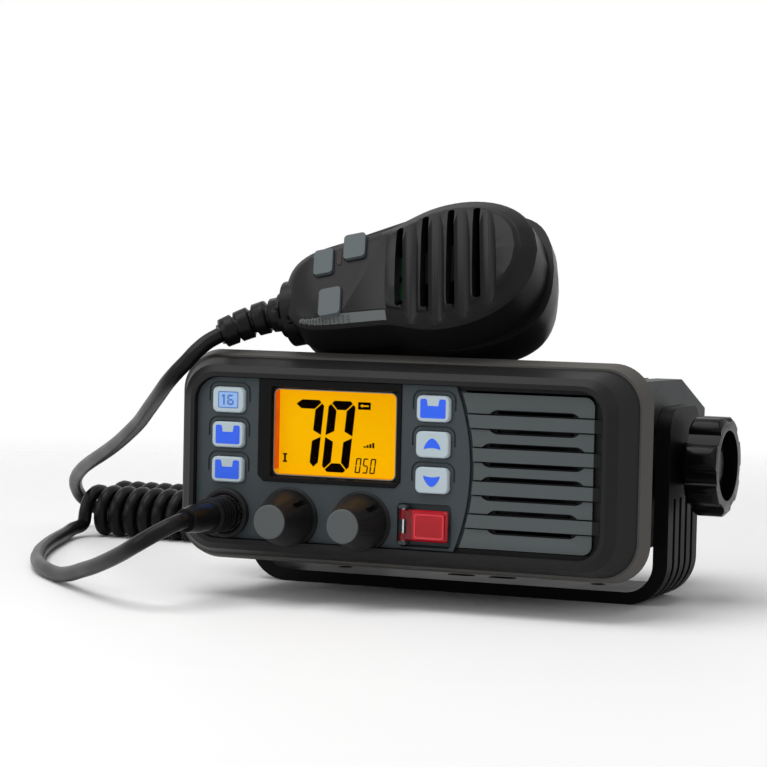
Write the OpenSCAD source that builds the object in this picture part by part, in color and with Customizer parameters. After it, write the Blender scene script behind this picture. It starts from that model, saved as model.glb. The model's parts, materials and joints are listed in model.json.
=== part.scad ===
// Fixed-mount marine radio with its curly-cord microphone, in a U bracket.
// World frame: origin on the base under the tilt axis, X right, Y back, Z up.
// The radio's own pieces are drawn in a second frame, "the panel's": the same
// axes, with Y counted back from the panel's face and Z from the tilt axis.

/* [Bezel and gasket] */
// Width of the bezel's front lip
face_w = 142.4; // [130:0.2:160]
// Height of the bezel's front lip
face_h = 55.8; // [50:0.2:70]
// Width of the bezel at its back edge
bezel_w = 156.8; // [145:0.2:170]
// Height of the bezel at its back edge
bezel_h = 65; // [58:0.5:80]
// Width of the sealing gasket's flared edge
gasket_w = 162; // [150:0.5:175]
// Height of the sealing gasket's flared edge
gasket_h = 69.2; // [62:0.2:85]

/* [Keys and knobs] */
// Width of a panel key
key_w = 11.3; // [8:0.1:13]
// Height of a panel key
key_h = 8.3; // [6:0.1:10]
// Distance between the centres of two keys in a column
key_pitch = 11.35; // [11.3:0.05:13]
// How far a panel key stands out of the panel
key_proud = 1.5; // [1:0.1:2.5]
// Radius of a control knob at its foot
knob_r = 9; // [7:0.1:9.5]
// Length of a control knob
knob_len = 14.7; // [10:0.1:18]

/* [Display] */
// Width of the display's window
window_w = 42.1; // [36:0.1:43]
// Height of the display's window
window_h = 27.3; // [22:0.1:28]

/* [Speaker grille] */
// Number of bars across the grille
bars = 4; // [3:1:4]
// Distance between the bars
bar_pitch = 10.5; // [9:0.1:11]
// Height of one bar
bar_h = 4.1; // [3:0.1:5]

/* [Body] */
// Height of the body behind the gasket
body_h = 56.6; // [50:0.2:57]
// Width of the body behind the gasket
body_w = 137.2; // [134:0.2:137.2]
// Thickness of the body's walls
wall = 3; // [2.5:0.1:4]

/* [Bracket] */
// Width of the bracket over its arms
bracket_w = 150; // [150:0.5:156]
// Depth of the bracket's strap, front to back
strap_d = 34; // [28:1:40]
// Height of the tilt axis over the base
axis_h = 46; // [46:0.5:55]
// Height of the arms
arm_top = 65; // [62:0.5:72]
// Distance between the two base screws
screw_gap = 92; // [70:1:100]
// Radius of a base screw hole
screw_hole_r = 2.5; // [2:0.1:3]

/* [Clamp knobs] */
// Radius of a clamp knob over its lobes
clamp_r = 17; // [15:0.2:18]
// Number of lobes on a clamp knob
clamp_lobes = 7; // [5:1:9]

/* [Microphone] */
// Thickness of the microphone's front shell at the rim
mic_rim = 15; // [14:0.5:15]
// Distance between the slots of the microphone's grille
slot_pitch = 8.7; // [7:0.1:9]
// Width of a slot
slot_w = 2.3; // [1.5:0.1:3]

/* [Cord] */
// Thickness of the cord
cord_d = 5.2; // [4.5:0.1:5.4]
// Radius of a curl, to the middle of the cord
curl_r = 7.4; // [7.4:0.1:7.6]
// Distance from one curl to the next
curl_pitch = 6; // [5.9:0.1:6.1]
// Number of curls in the front row
row_curls = 19; // [16:1:19]

/* [Hidden] */
$fn = 64;
e = 0.01;
// the panel's frame stands here in the world's
panel_y = -71;
axis_y = -panel_y;
// bezel: y of its lip, of the step between its two slopes and of its back edge
lip_y = -2;
step_y = 0.5;
back_y = 9;
panel_t = 1.5;
recess_w = face_w - 2.8;
recess_h = face_h - 3;
ledge_w = 132;
ledge_h = 50;
// the panel ends on one large arc and the grille starts on a second
arc_x = -43.5;
panel_arc_r = 69.3;
grille_arc_r = 70.6;
grille_right = 66.5;
// display
window_x = -window_w;
window_z = -4.5;
// key columns and rows
key_left_x = -57.9;
key_right_x = 13.5;
key_top_z = 18.85;
key_rows = [key_top_z, key_top_z - key_pitch, key_top_z - 2 * key_pitch];
run = 0.3;
// knobs and the microphone's socket
squelch_x = -36;
volume_x = -10.7;
knob_z = -18.6;
shaft_r = 3;
fit = 0.06;
socket_x = -58.5;
socket_z = -18.2;
plug_r = 5.85;
boot_end_y = -30;
// distress key
well = [1.5, 19.9, -25.4, -11.5];
cover = [2.5, 19.2, -23.4, -13.4];
pin_x = 4;
pin_y = -0.8;
// speaker
speaker_x = 46;
speaker_r = 17.5;
// body
chamfer_y = 93.5;
rear_y = 125.5;
board_y = 7;
insert_r = 5;
stud_r = 3;
boss_x = 67.6;
// bracket
arm_t = 5;
strap_t = 4;
arm_in = bracket_w / 2 - arm_t;
grooves = [-10.2, -3.4, 3.4, 10.2];
// microphone
mic_at = [16.8, -44.1, 104.7];
mic_turn = [55.4, -11.5, 5];
mic_half = [
    [-62, 0], [-61.7, 5], [-60.2, 9.4], [-57, 13], [-52, 15.4], [-44, 16.8],
    [-34, 17.9], [-26, 18.9], [-20, 21.1], [-12, 23.7], [-4, 24.4], [4, 23.4],
    [11.5, 20.6], [18, 15.7], [22.4, 8.8], [24, 0]
];
// the back shell has the same tail, and a squarer head that stands out a little
mic_back_half = [
    [-62, 0], [-61.7, 5], [-60.2, 9.4], [-57, 13], [-52, 15.4], [-44, 16.8],
    [-34, 17.9], [-26, 19.3], [-18, 22.4], [-10, 24.8], [0, 25.8], [9, 25],
    [16.4, 22.2], [21.8, 17.4], [25, 9.6], [26, 0]
];
keypad_z = mic_rim - 0.4;
mic_wall = 2.2;
ceil_z = mic_rim - 2.8;
mic_keys = [[-47.7, 8, 6.6, 9.7], [-37, 12, 7.4, 9.5], [-44.9, -8.4, 7.4, 10.5]];
lens = [-42.5, 9, 1.8, 6];
slots = [[-21, 15.3], [-21 + slot_pitch, 17.8], [-21 + 2 * slot_pitch, 18.6],
    [-21 + 3 * slot_pitch, 17.6]];
// a flute starts beside the head of each slot and runs out over the lower edge
flute_r = 3.3;
flute_z = 19.6;
flute_tilt = 4.2;
mic_seg = 3;
// strain relief of the microphone: its middle line in the world's frame
relief_path = [
    [-46.5, -54.7, 92.9], [-52.5, -55.3, 91.6], [-58, -56.4, 89.7],
    [-62.8, -58.4, 87.5], [-66.6, -61.3, 85.4]
];
// the curls lie in two rows beside each other on the table
row_x = -187;
row_y = 79;
row_gap = 22;
curl_z = curl_r + cord_d / 2;
row_len = row_curls * curl_pitch + 1.4;
fold_r = row_gap / 2;
fold_curls = 1.25;
back_curls = row_curls + 0.5;
curl_rings = 8;
curl_sides = 6;
// the lead from the plug drops to the table and runs back to the first curl
plug_route = [
    [-58.5, -101, 27.8], [-58.6, -106.4, 27.5], [-61.6, -112, 25.3],
    [-68.6, -114.2, 20.9], [-79, -107.6, 16], [-93, -95.5, 10.8],
    [-104.5, -84, 7.4], [-114, -74.5, 4.7], [-124, -64.5, 2.9],
    [-134.5, -53.5, 2.7], [-143.5, -42, 2.7],
    [-154, -25, 2.7], [-165, -3, 2.7], [-174, 19, 2.7], [-181, 39, 2.7],
    [-186, 54, 2.7], [-188, 63, 3.6]
];
// the lead from the microphone hooks over the bezel's corner and runs down
mic_route = [
    [-66.82, -61.47, 85.28], [-69.6, -64.7, 83], [-71.8, -68.2, 80],
    [-74.2, -70.3, 76.6], [-77.9, -70.5, 72.9], [-83, -67, 69],
    [-90.4, -58.5, 64.3], [-100.5, -45.5, 58.8], [-112.5, -29, 53],
    [-126, -11.5, 47.4], [-140.5, 7.5, 42], [-156.5, 28, 36.6],
    [-172, 47.5, 31.6], [-185.5, 65.5, 27], [-197, 82, 22],
    [-203.6, 94, 17.2], [-205.2, 102, 12.2], [-201.5, 107.5, 7.6],
    [-194.5, 108.5, 4.2]
];

// ---------------------------------------------------------------- helpers

// a rounded rectangle about the middle
module rrect(w, h, r) {
    square([w - 2 * r, h], center = true);
    square([w, h - 2 * r], center = true);
    for (x = [-1, 1], z = [-1, 1])
        translate([x * (w / 2 - r), z * (h / 2 - r)]) circle(r);
}

// the same between two corners
module rbox(x0, x1, z0, z1, r) {
    translate([(x0 + x1) / 2, (z0 + z1) / 2]) rrect(x1 - x0, z1 - z0, r);
}

// a flat shape of the panel, drawn in X and Z, made solid from y0 back to y1
module plate(y0, y1) {
    translate([0, y1, 0]) rotate([90, 0, 0]) linear_extrude(y1 - y0) children();
}

// a side profile, drawn in Y and Z, made solid over X
module side_plate(x0, x1) {
    translate([x0, 0, 0]) rotate([90, 0, 90]) linear_extrude(x1 - x0) children();
}

// a plan, drawn in X and Y, made solid over Z
module plan_plate(z0, z1) {
    translate([0, 0, z0]) linear_extrude(z1 - z0) children();
}

// turned pieces: their Z points out of the panel
module out_of_panel(x, z) {
    translate([x, 0, z]) rotate([90, 0, 0]) children();
}

// the panel's frame, placed in the world's
module on_radio() {
    translate([0, panel_y, axis_h]) children();
}

// the microphone's frame: X to its head, Z out of its face, 0 at its seam
module on_mic() {
    translate(mic_at) rotate(mic_turn) children();
}

// pieces on the tilt axis: Z points away from the radio
module on_axis(side) {
    translate([0, 0, axis_h]) rotate([0, side * 90, 0]) children();
}

module thin(w, h, r, y) {
    plate(y, y + e) rrect(w, h, r, $fn = 48);
}

function unit(v) = v / norm(v);

// one point of the smooth curve through p, between its points i and i + 1
function spline(p, i, t) =
    let (n = len(p) - 1,
        a = i > 0 ? p[i - 1] : 2 * p[0] - p[1],
        b = p[i],
        c = p[i + 1],
        d = i + 2 <= n ? p[i + 2] : 2 * p[n] - p[n - 1])
    0.5 * (2 * b + (c - a) * t + (2 * a - 5 * b + 4 * c - d) * t * t
        + (3 * b - a - 3 * c + d) * t * t * t);

function smooth(p, m) = [
    for (i = [0 : len(p) - 2], k = [0 : m - 1]) spline(p, i, k / m),
    p[len(p) - 1]
];

function tangents(p) = [
    for (i = [0 : len(p) - 1])
        unit(p[min(i + 1, len(p) - 1)] - p[max(i - 1, 0)])
];

// a side direction at each point of a path, carried along without twist
function sides_of(t) = [
    for (i = 0, s = unit(cross(t[0], [0.1, 0.2, 1])); i < len(t);
        s = i + 1 < len(t) ? unit(s - (s * t[i + 1]) * t[i + 1]) : s, i = i + 1) s
];

// one unbroken tube along a path; r holds one radius for each point
module tube(p, r, n, t_in = [], s_in = []) {
    t = len(t_in) > 0 ? t_in : tangents(p);
    s = len(s_in) > 0 ? s_in : sides_of(t);
    pts = [
        for (i = [0 : len(p) - 1], k = [0 : n - 1])
            p[i] + r[i] * (cos(360 * k / n) * s[i]
                + sin(360 * k / n) * cross(t[i], s[i]))
    ];
    last = (len(p) - 1) * n;
    walls = [
        for (i = [0 : len(p) - 2], k = [0 : n - 1])
            let (a = i * n + k, b = i * n + (k + 1) % n)
            each [[a, a + n, b + n], [a, b + n, b]]
    ];
    ends = [for (k = [1 : n - 2]) each [[0, k, k + 1], [last, last + k + 1, last + k]]];
    polyhedron(points = pts, faces = concat(walls, ends));
}

function same(r, p) = [for (q = p) r];

// ------------------------------------------------------------ bezel, panel

module bezel() {
    color([0.09, 0.09, 0.1])
    on_radio() difference() {
        union() {
            hull() {
                thin(face_w, face_h, 9, lip_y);
                thin(face_w + 6.2, face_h + 4.2, 10.5, step_y);
            }
            hull() {
                thin(face_w + 6.2, face_h + 4.2, 10.5, step_y);
                thin(bezel_w, bezel_h, 12, back_y - e);
            }
        }
        plate(lip_y - 1, panel_t) rrect(recess_w, recess_h, 8);
        plate(panel_t - 1, back_y + 1) rrect(ledge_w, ledge_h, 2);
        plate(3.5, back_y + 1) rrect(137, 53, 7);
        for (x = [-71, 71], z = [-14, 14])
            translate([x, back_y + 1, z]) rotate([90, 0, 0]) cylinder(h = 6, r = 1.05);
    }
}

module gasket() {
    color([0.34, 0.34, 0.33])
    on_radio() difference() {
        hull() {
            thin(gasket_w - 4, gasket_h - 3, 12, back_y);
            thin(gasket_w, gasket_h, 13, back_y + 6 - e);
        }
        plate(back_y - 1, back_y + 7) rrect(146, 57.8, 5);
    }
}

module panel_shape() {
    intersection() {
        rrect(recess_w - 0.6, recess_h - 0.6, 7.8);
        translate([arc_x, 0]) circle(panel_arc_r, $fn = 180);
    }
}

module surround_shape(grow) {
    polygon([
        [window_x - 5.4 - grow, 26.1 + grow], [2.3 + grow, 26.1 + grow],
        [2.3 + grow, -5 - grow], [0.3 + grow / 2, -7 - grow],
        [window_x - 3.4 - grow / 2, -7 - grow], [window_x - 5.4 - grow, -5 - grow]
    ]);
}

// the raised eyebrow round the upper half of a key is a shallow groove
module key_groove(x, z) {
    translate([x, z]) intersection() {
        difference() {
            rrect(key_w + 3.6, key_h + 3.6, 3.2);
            rrect(key_w + 2.4, key_h + 2.4, 2.6);
        }
        translate([-10, -0.5]) square([20, 10]);
    }
}

module front_panel() {
    color([0.24, 0.27, 0.28])
    on_radio() difference() {
        union() {
            plate(0, panel_t) panel_shape();
            // floor of the distress key's well
            plate(panel_t - e, 2.5) rbox(0.9, 20.5, -24.8, -10.9, 1);
            // strip that closes the gap beside the grille
            plate(panel_t - e, 2.5) intersection() {
                translate([arc_x, 0]) difference() {
                    circle(panel_arc_r + 2.1, $fn = 180);
                    circle(panel_arc_r - 1, $fn = 180);
                }
                translate([0, -24.8]) square([60, 49.6]);
            }
        }
        plate(-1, panel_t + e) surround_shape(0.1);
        for (z = key_rows, x = [key_left_x, key_right_x]) {
            plate(-1, 4) translate([x, z])
                rrect(key_w + 2 * run, key_h + 2 * run, 2);
            plate(-1, 0.5) key_groove(x, z);
        }
        for (x = [squelch_x, volume_x]) out_of_panel(x, knob_z)
            translate([0, 0, -4]) cylinder(h = 6, r = 4.1);
        out_of_panel(socket_x, socket_z) translate([0, 0, -4]) cylinder(h = 6, r = 7.1);
        plate(-1, panel_t) rbox(well[0], well[1], well[2], well[3], 1.5);
        plate(-1, 4) rbox(6.7, 17.3, -22.8, -14.2, 1.3);
    }
    // two ears carry the hinge pin of the distress cover
    color([0.24, 0.27, 0.28])
    on_radio() for (z = [-24.6, -13.1]) difference() {
        translate([2.7, -2, z]) cube([2.6, 2 + panel_t, 1]);
        translate([pin_x, pin_y, z - 1]) cylinder(h = 3, r = 0.62);
    }
}

module lcd_surround() {
    color([0.03, 0.03, 0.03])
    on_radio() difference() {
        plate(-0.4, panel_t) surround_shape(0);
        hull() {
            plate(-0.5, -0.4) rbox(window_x - 1, 1, window_z - 1,
                window_z + window_h + 1, 0.5, $fn = 16);
            plate(0.6, 2) rbox(window_x, 0, window_z, window_z + window_h, 0.4, $fn = 16);
        }
        plate(0.9, 2) rbox(window_x - 1, 1, window_z - 1, window_z + window_h + 1, 0.5);
    }
}

module lcd_glass() {
    color([0.95, 0.85, 0.6, 0.35])
    on_radio() plate(0.9, 1.4)
        rbox(window_x - 0.9, 0.9, window_z - 0.9, window_z + window_h + 0.9, 0.5);
}

module lcd_light_frame() {
    color([0.95, 0.4, 0.05])
    on_radio() plate(panel_t, 4.5) difference() {
        rbox(window_x - 2, 1.8, window_z - 2, window_z + window_h + 1.9, 1);
        rbox(window_x, 0, window_z, window_z + window_h, 0.4);
    }
}

module lcd_display() {
    color([0.98, 0.7, 0.05])
    on_radio() plate(4.5, 6.5)
        rbox(window_x - 2, 1.8, window_z - 2, window_z + window_h + 1.9, 1);
}

// ---------------------------------------------------------- speaker, grille

module bar_line(i) {
    translate([0, (bars - 1) * bar_pitch / 2 - 0.3 - i * bar_pitch]) children();
}

module grille_shape(r) {
    difference() {
        rbox(15, grille_right, -24.6, 24.3, 3);
        translate([arc_x, 0]) circle(r, $fn = 180);
    }
}

module speaker_grille() {
    outer_bar = [31.2, 62.5];
    inner_bar = [28.9, 64.3];
    color([0.2, 0.22, 0.23])
    on_radio() union() {
        difference() {
            union() {
                plate(0, panel_t - e) grille_shape(grille_arc_r);
                plate(panel_t - 2 * e, 2.6) intersection() {
                    grille_shape(grille_arc_r + 1.4);
                    translate([0, -24.6]) square([65.8, 48.9]);
                }
            }
            for (i = [0 : bars - 1]) {
                x = i == 0 || i == bars - 1 ? outer_bar : inner_bar;
                // pocket that the bar crosses, with a sound slot on each side
                plate(-1, 1.3) bar_line(i)
                    rbox(x[0], x[1], -bar_h / 2 - 1.8, bar_h / 2 + 1.8, bar_h / 2 + 1.7);
                for (s = [-1, 1]) {
                    plate(-1, 4) bar_line(i) translate([0, s * (bar_h / 2 + 0.9)])
                        rbox(x[0] + 3, x[1] - 3, -0.5, 0.5, 0.49);
                    plate(-1, 0.6) bar_line(i)
                        translate([20, s * (bar_h / 2 + 0.25) - 0.25]) square([50, 0.5]);
                }
            }
        }
        // the bars run on over the dark border to the bezel
        for (i = [0 : bars - 1]) plate(-0.6, panel_t - e) intersection() {
            bar_line(i) translate([20, -bar_h / 2]) square([49.3, bar_h]);
            difference() {
                translate([15, -30]) square([60, 60]);
                translate([arc_x, 0]) circle(grille_arc_r, $fn = 180);
            }
        }
    }
}

module speaker_frame() {
    color([0.3, 0.3, 0.32])
    on_radio() out_of_panel(speaker_x, 0) rotate_extrude()
        polygon([
            [13.6, -2.6], [speaker_r, -2.6], [speaker_r, -4.4], [15.6, -4.4],
            [10, -11.4], [10, -12.4], [4.5, -12.4], [4.5, -11.2], [9, -11.2],
            [14.4, -4.4], [13.6, -4.4]
        ]);
}

module speaker_cone() {
    color([0.06, 0.06, 0.06])
    on_radio() out_of_panel(speaker_x, 0) rotate_extrude()
        polygon([
            [0, -7.6], [3.4, -8.3], [13.4, -3.4], [13.6, -3.4], [13.6, -4.2],
            [3.6, -9.1], [3.6, -11], [2.8, -11], [2.8, -9], [0, -8.2]
        ]);
}

module speaker_magnet() {
    color([0.12, 0.12, 0.13])
    on_radio() out_of_panel(speaker_x, 0) translate([0, 0, -18.4])
        cylinder(h = 6, r = 11);
}

// ------------------------------------------------------------ keys and knobs

module key_cap(x, z) {
    color([0.76, 0.8, 0.79])
    on_radio() translate([x, 0, z]) {
        hull() {
            plate(-key_proud, -key_proud + e) rrect(key_w - 0.8, key_h - 0.8, 1.5, $fn = 20);
            plate(-key_proud + 0.5, -key_proud + 0.5 + e) rrect(key_w, key_h, 1.8, $fn = 20);
        }
        plate(-key_proud + 0.5, 3) rrect(key_w, key_h, 1.8, $fn = 20);
        plate(2, 3) rrect(key_w + 1.6, key_h + 1.6, 2, $fn = 20);
    }
}

module key_left_top() { key_cap(key_left_x, key_rows[0]); }
module key_left_middle() { key_cap(key_left_x, key_rows[1]); }
module key_left_low() { key_cap(key_left_x, key_rows[2]); }
module key_right_top() { key_cap(key_right_x, key_rows[0]); }
module key_up() { key_cap(key_right_x, key_rows[1]); }
module key_down() { key_cap(key_right_x, key_rows[2]); }

module key_mat() {
    color([0.15, 0.15, 0.16])
    on_radio() for (x = [key_left_x, key_right_x]) {
        plate(6.2, board_y) rbox(x - 6.2, x + 6.2, -10, 24.5, 1.5);
        for (z = key_rows) translate([x, 6.3, z]) rotate([90, 0, 0])
            cylinder(h = 2, r1 = 3, r2 = 2);
    }
}

module control_knob(x) {
    color([0.13, 0.13, 0.14])
    on_radio() out_of_panel(x, knob_z) difference() {
        rotate_extrude() polygon([
            [0, 1.3], [7.2, 1.3], [7.2, 2.4], [knob_r, 2.4], [knob_r, 3.8],
            [5.6, knob_len + 0.8], [5.2, knob_len + 1.3], [0, knob_len + 1.3]
        ]);
        // pointer notch in the cone, at the upper right
        rotate([0, 0, 40]) translate([6.6, -0.8, 1]) cube([4, 1.6, 8]);
        translate([0, 0, 1]) cylinder(h = 11, r = shaft_r + 0.02);
    }
}

module squelch_knob() { control_knob(squelch_x); }
module volume_knob() { control_knob(volume_x); }

module knob_shaft(x) {
    color([0.6, 0.6, 0.62])
    on_radio() out_of_panel(x, knob_z) translate([0, 0, -6.2])
        cylinder(h = 18.2, r = shaft_r);
}

module squelch_shaft() { knob_shaft(squelch_x); }
module volume_shaft() { knob_shaft(volume_x); }

module knob_collars() {
    color([0.1, 0.1, 0.11])
    on_radio() for (x = [squelch_x, volume_x]) intersection() {
        out_of_panel(x, knob_z)
            rotate_extrude() polygon([[3.4, 0], [10, 0], [10, 0.4], [9.5, 1], [3.4, 1]]);
        translate([x - 12, -3, -recess_h / 2 + 0.1]) cube([24, 4, 24]);
    }
}

module control_pots() {
    color([0.5, 0.5, 0.52])
    on_radio() for (x = [squelch_x, volume_x]) out_of_panel(x, knob_z)
        rotate_extrude() polygon([
            [0, -board_y], [6.2, -board_y], [6.2, -panel_t], [4, -panel_t],
            [4, -0.1], [shaft_r + fit, -0.1], [shaft_r + fit, -6.5], [0, -6.5]
        ]);
}

// --------------------------------------------------------------- distress key

module distress_cover() {
    color([0.75, 0.03, 0.14])
    on_radio() difference() {
        union() {
            hull() {
                plate(-2, -2 + e) rbox(cover[0] + 2.6, cover[1] - 0.6, cover[2] + 0.6,
                    cover[3] - 0.6, 0.5, $fn = 12);
                plate(-1.2, -0.6) rbox(cover[0] + 1.6, cover[1], cover[2], cover[3],
                    0.8, $fn = 12);
            }
            for (z = [cover[2], -16.5]) translate([pin_x, pin_y, z])
                cylinder(h = z == -16.5 ? 3.1 : 2.4, r = 1.3);
        }
        translate([pin_x, pin_y, -30]) cylinder(h = 20, r = 0.66);
        translate([pin_x - 3, -3, -21]) cube([4.6, 5, 4.5]);
    }
}

module distress_pin() {
    color([0.75, 0.77, 0.74])
    on_radio() translate([pin_x, pin_y, -24.6]) cylinder(h = 12.5, r = 0.6);
}

module distress_button() {
    color([0.55, 0.02, 0.1])
    on_radio() {
        plate(-0.2, 3.7) rbox(7, 17, -22.5, -14.5, 1);
        plate(2.9, 3.7) rbox(6.2, 17.8, -23.3, -13.7, 1);
    }
}

// ------------------------------------------------------- socket, plug, boot

module mic_socket() {
    color([0.2, 0.2, 0.21])
    on_radio() out_of_panel(socket_x, socket_z) rotate_extrude() polygon([
        [0, -board_y], [6.7, -board_y], [6.7, 0], [8.1, 0], [8.1, 1.6], [7.7, 2], [6.8, 2],
        [6.4, 1.2], [plug_r + 0.04, 0.8], [plug_r + 0.04, -3.2], [0, -3.2]
    ]);
}

module mic_plug() {
    color([0.5, 0.5, 0.52])
    on_radio() out_of_panel(socket_x, socket_z) translate([0, 0, -3.2])
        cylinder(h = 5.6, r = plug_r);
}

module plug_boot() {
    ribs = [for (i = [0 : 4]) each [
        [5.75, 3.6 + 2.2 * i], [5.75, 4.8 + 2.2 * i],
        [4.7, 4.9 + 2.2 * i], [4.7, 5.7 + 2.2 * i]
    ]];
    color([0.08, 0.08, 0.08])
    on_radio() out_of_panel(socket_x, socket_z) rotate_extrude() polygon(concat(
        [[0, 2.4], [plug_r, 2.4]], ribs,
        [[4.6, 16], [4.6, 24], [3.8, -boot_end_y], [0, -boot_end_y]]
    ));
}

// ----------------------------------------------------------------- the body

module body_side(inset) {
    t = inset * 1.02;
    k = body_h / 2 - inset;
    polygon([
        [12 - inset, k], [chamfer_y - t / 5, k - 1.5], [rear_y - t, 15.6 - t / 2],
        [rear_y - t, t / 2 - 18], [chamfer_y - t / 5, 1.5 - k], [12 - inset, -k]
    ]);
}

module body_plan(inset) {
    k = body_w / 2 - inset;
    polygon([
        [-k, 12 - inset], [k, 12 - inset], [k - 2.6, rear_y - inset],
        [2.6 - k, rear_y - inset]
    ]);
}

module body_form(inset) {
    intersection() {
        side_plate(-90, 90) body_side(inset);
        plan_plate(-40, 40) body_plan(inset);
    }
}

module chassis() {
    color([0.13, 0.13, 0.14])
    on_radio() difference() {
        union() {
            difference() {
                union() {
                    plate(back_y, 12.5) rrect(145.6, 57.2, 4.8);
                    body_form(0);
                }
                plate(back_y - 1, 13) rrect(131, 46, 5);
                body_form(wall);
                // cooling fins: grooves over both rear slopes
                for (x = [-6 : 6]) difference() {
                    side_plate(x * 9.4 - 1.6, x * 9.4 + 1.6) difference() {
                        body_side(-1);
                        body_side(1.4);
                        translate([0, -40]) square([82, 80]);
                    }
                    translate([-90, 80, -14.5]) cube([180, 60, 28]);
                }
            }
            // bosses of the tilt axis
            for (s = [-1, 1]) translate([0, axis_y, 0]) rotate([0, s * 90, 0]) {
                translate([0, 0, 60]) cylinder(h = boss_x - 60, r = 8);
                translate([0, 0, 65]) cylinder(h = boss_x - 65, r = 13);
            }
            // posts under the board
            for (x = [-48, 48], y = [34, 80]) translate([x, y, -26.5])
                cylinder(h = 10.5, r = 3);
        }
        for (s = [-1, 1]) translate([0, axis_y, 0]) rotate([0, s * 90, 0])
            translate([0, 0, 59]) cylinder(h = 10, r = insert_r + 0.02);
        for (x = [-71, 71], z = [-14, 14])
            translate([x, 13, z]) rotate([90, 0, 0]) cylinder(h = 6, r = 1.2);
        translate([-38, rear_y + 2, 0]) rotate([90, 0, 0]) cylinder(h = 8, r = 6.3);
        translate([14, rear_y + 2, -2]) rotate([90, 0, 0]) cylinder(h = 8, r = 6.3);
        translate([38, rear_y + 2, -2]) rotate([90, 0, 0]) cylinder(h = 8, r = 5.3);
    }
}

module housing_screws() {
    color([0.55, 0.56, 0.58])
    on_radio() for (x = [-71, 71], z = [-14, 14]) translate([x, 12.5, z])
        rotate([90, 0, 0]) {
            translate([0, 0, -1.3]) cylinder(h = 1.3, r = 1.8);
            cylinder(h = 7.5, r = 1);
        }
}

module tilt_washers() {
    color([0.1, 0.1, 0.1])
    for (s = [-1, 1]) on_axis(s) translate([0, 0, boss_x]) difference() {
        cylinder(h = arm_in - run - boss_x, r = 12);
        translate([0, 0, -1]) cylinder(h = 5, r = stud_r + run);
    }
}

module thread_inserts() {
    color([0.7, 0.6, 0.3])
    for (s = [-1, 1]) on_axis(s) translate([0, 0, 60]) difference() {
        cylinder(h = boss_x - 60, r = insert_r);
        translate([0, 0, -1]) cylinder(h = 12, r = stud_r + fit);
    }
}

module front_board() {
    color([0.05, 0.3, 0.15])
    on_radio() plate(board_y, board_y + 1.6) rbox(-65, 24, -24, 24.5, 2);
}

module main_board() {
    color([0.05, 0.3, 0.15])
    on_radio() difference() {
        translate([-54, 24, -16]) cube([108, 84, 1.6]);
        for (x = [-48, 48], y = [34, 80]) translate([x, y, -20]) cylinder(h = 8, r = 1.5);
    }
}

module antenna_socket() {
    color([0.72, 0.72, 0.7])
    on_radio() translate([-38, rear_y, 0]) difference() {
        union() {
            translate([-12.5, 0, -12.5]) cube([25, 1.6, 25]);
            rotate([-90, 0, 0]) cylinder(h = 13, r = 7.94);
            rotate([90, 0, 0]) cylinder(h = 5, r = 6.2);
        }
        rotate([-90, 0, 0]) translate([0, 0, 3]) cylinder(h = 12, r = 6.4);
        for (x = [-9, 9], z = [-9, 9]) translate([x, -1, z]) rotate([-90, 0, 0])
            cylinder(h = 4, r = 1.6);
    }
    // the centre contact
    color([0.72, 0.72, 0.7])
    on_radio() translate([-38, rear_y + 2.5, 0]) rotate([-90, 0, 0]) difference() {
        cylinder(h = 9, r = 2.6);
        translate([0, 0, 2]) cylinder(h = 8, r = 1.9);
    }
}

// a round socket under its dust cap
module round_socket(x, r) {
    on_radio() translate([x, rear_y, -2]) rotate([-90, 0, 0]) rotate_extrude()
        polygon([
            [0, -5], [r - 0.1, -5], [r - 0.1, 0], [r + 2, 0], [r + 2, 1.6], [r, 2],
            [r, 6.2], [r - 0.8, 7], [0, 7]
        ]);
}

module power_socket() {
    color([0.08, 0.08, 0.08]) round_socket(14, 6.3);
}

module data_socket() {
    color([0.08, 0.08, 0.08]) round_socket(38, 5.3);
}

// ------------------------------------------------------- bracket and clamps

// the strap's outline in X and Z, drawn in by the given amount
module strap_outline(inset, r, low) {
    w = bracket_w / 2 - inset;
    translate([-w, low + r]) square([2 * w, arm_top + 5 - r]);
    translate([-w + r, low]) square([2 * (w - r), r + 1]);
    for (s = [-1, 1]) translate([s * (w - r), low + r]) circle(r);
}

module bracket() {
    color([0.06, 0.06, 0.06])
    difference() {
        intersection() {
            plate(-strap_d / 2, strap_d / 2) difference() {
                strap_outline(0, 14, 0);
                strap_outline(arm_t, 9.5, strap_t);
            }
            side_plate(-90, 90) {
                translate([-strap_d / 2, -1]) square([strap_d, arm_top - 7]);
                translate([8 - strap_d / 2, 0]) square([strap_d - 16, arm_top]);
                for (s = [-1, 1]) translate([s * (strap_d / 2 - 8), arm_top - 8])
                    circle(8);
            }
        }
        // grooves in the lower part of the arms, round the corner
        for (y = grooves) plate(y - 1.2, y + 1.2) difference() {
            intersection() {
                strap_outline(-1, 15, -1);
                union() for (s = [-1, 1]) translate([s * 75 - 15, -2]) square([30, 37]);
            }
            strap_outline(0.9, 13.1, 0.9);
        }
        on_axis(1) translate([0, 0, -90]) cylinder(h = 180, r = stud_r + 0.08);
        for (s = [-1, 1]) translate([s * screw_gap / 2, 0, -1])
            cylinder(h = 6, r = screw_hole_r);
        // two slots in the middle of the base
        for (x = [-3, 12]) translate([x, 0, -1]) linear_extrude(6) rrect(10, 5, 2.48);
    }
}

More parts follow.
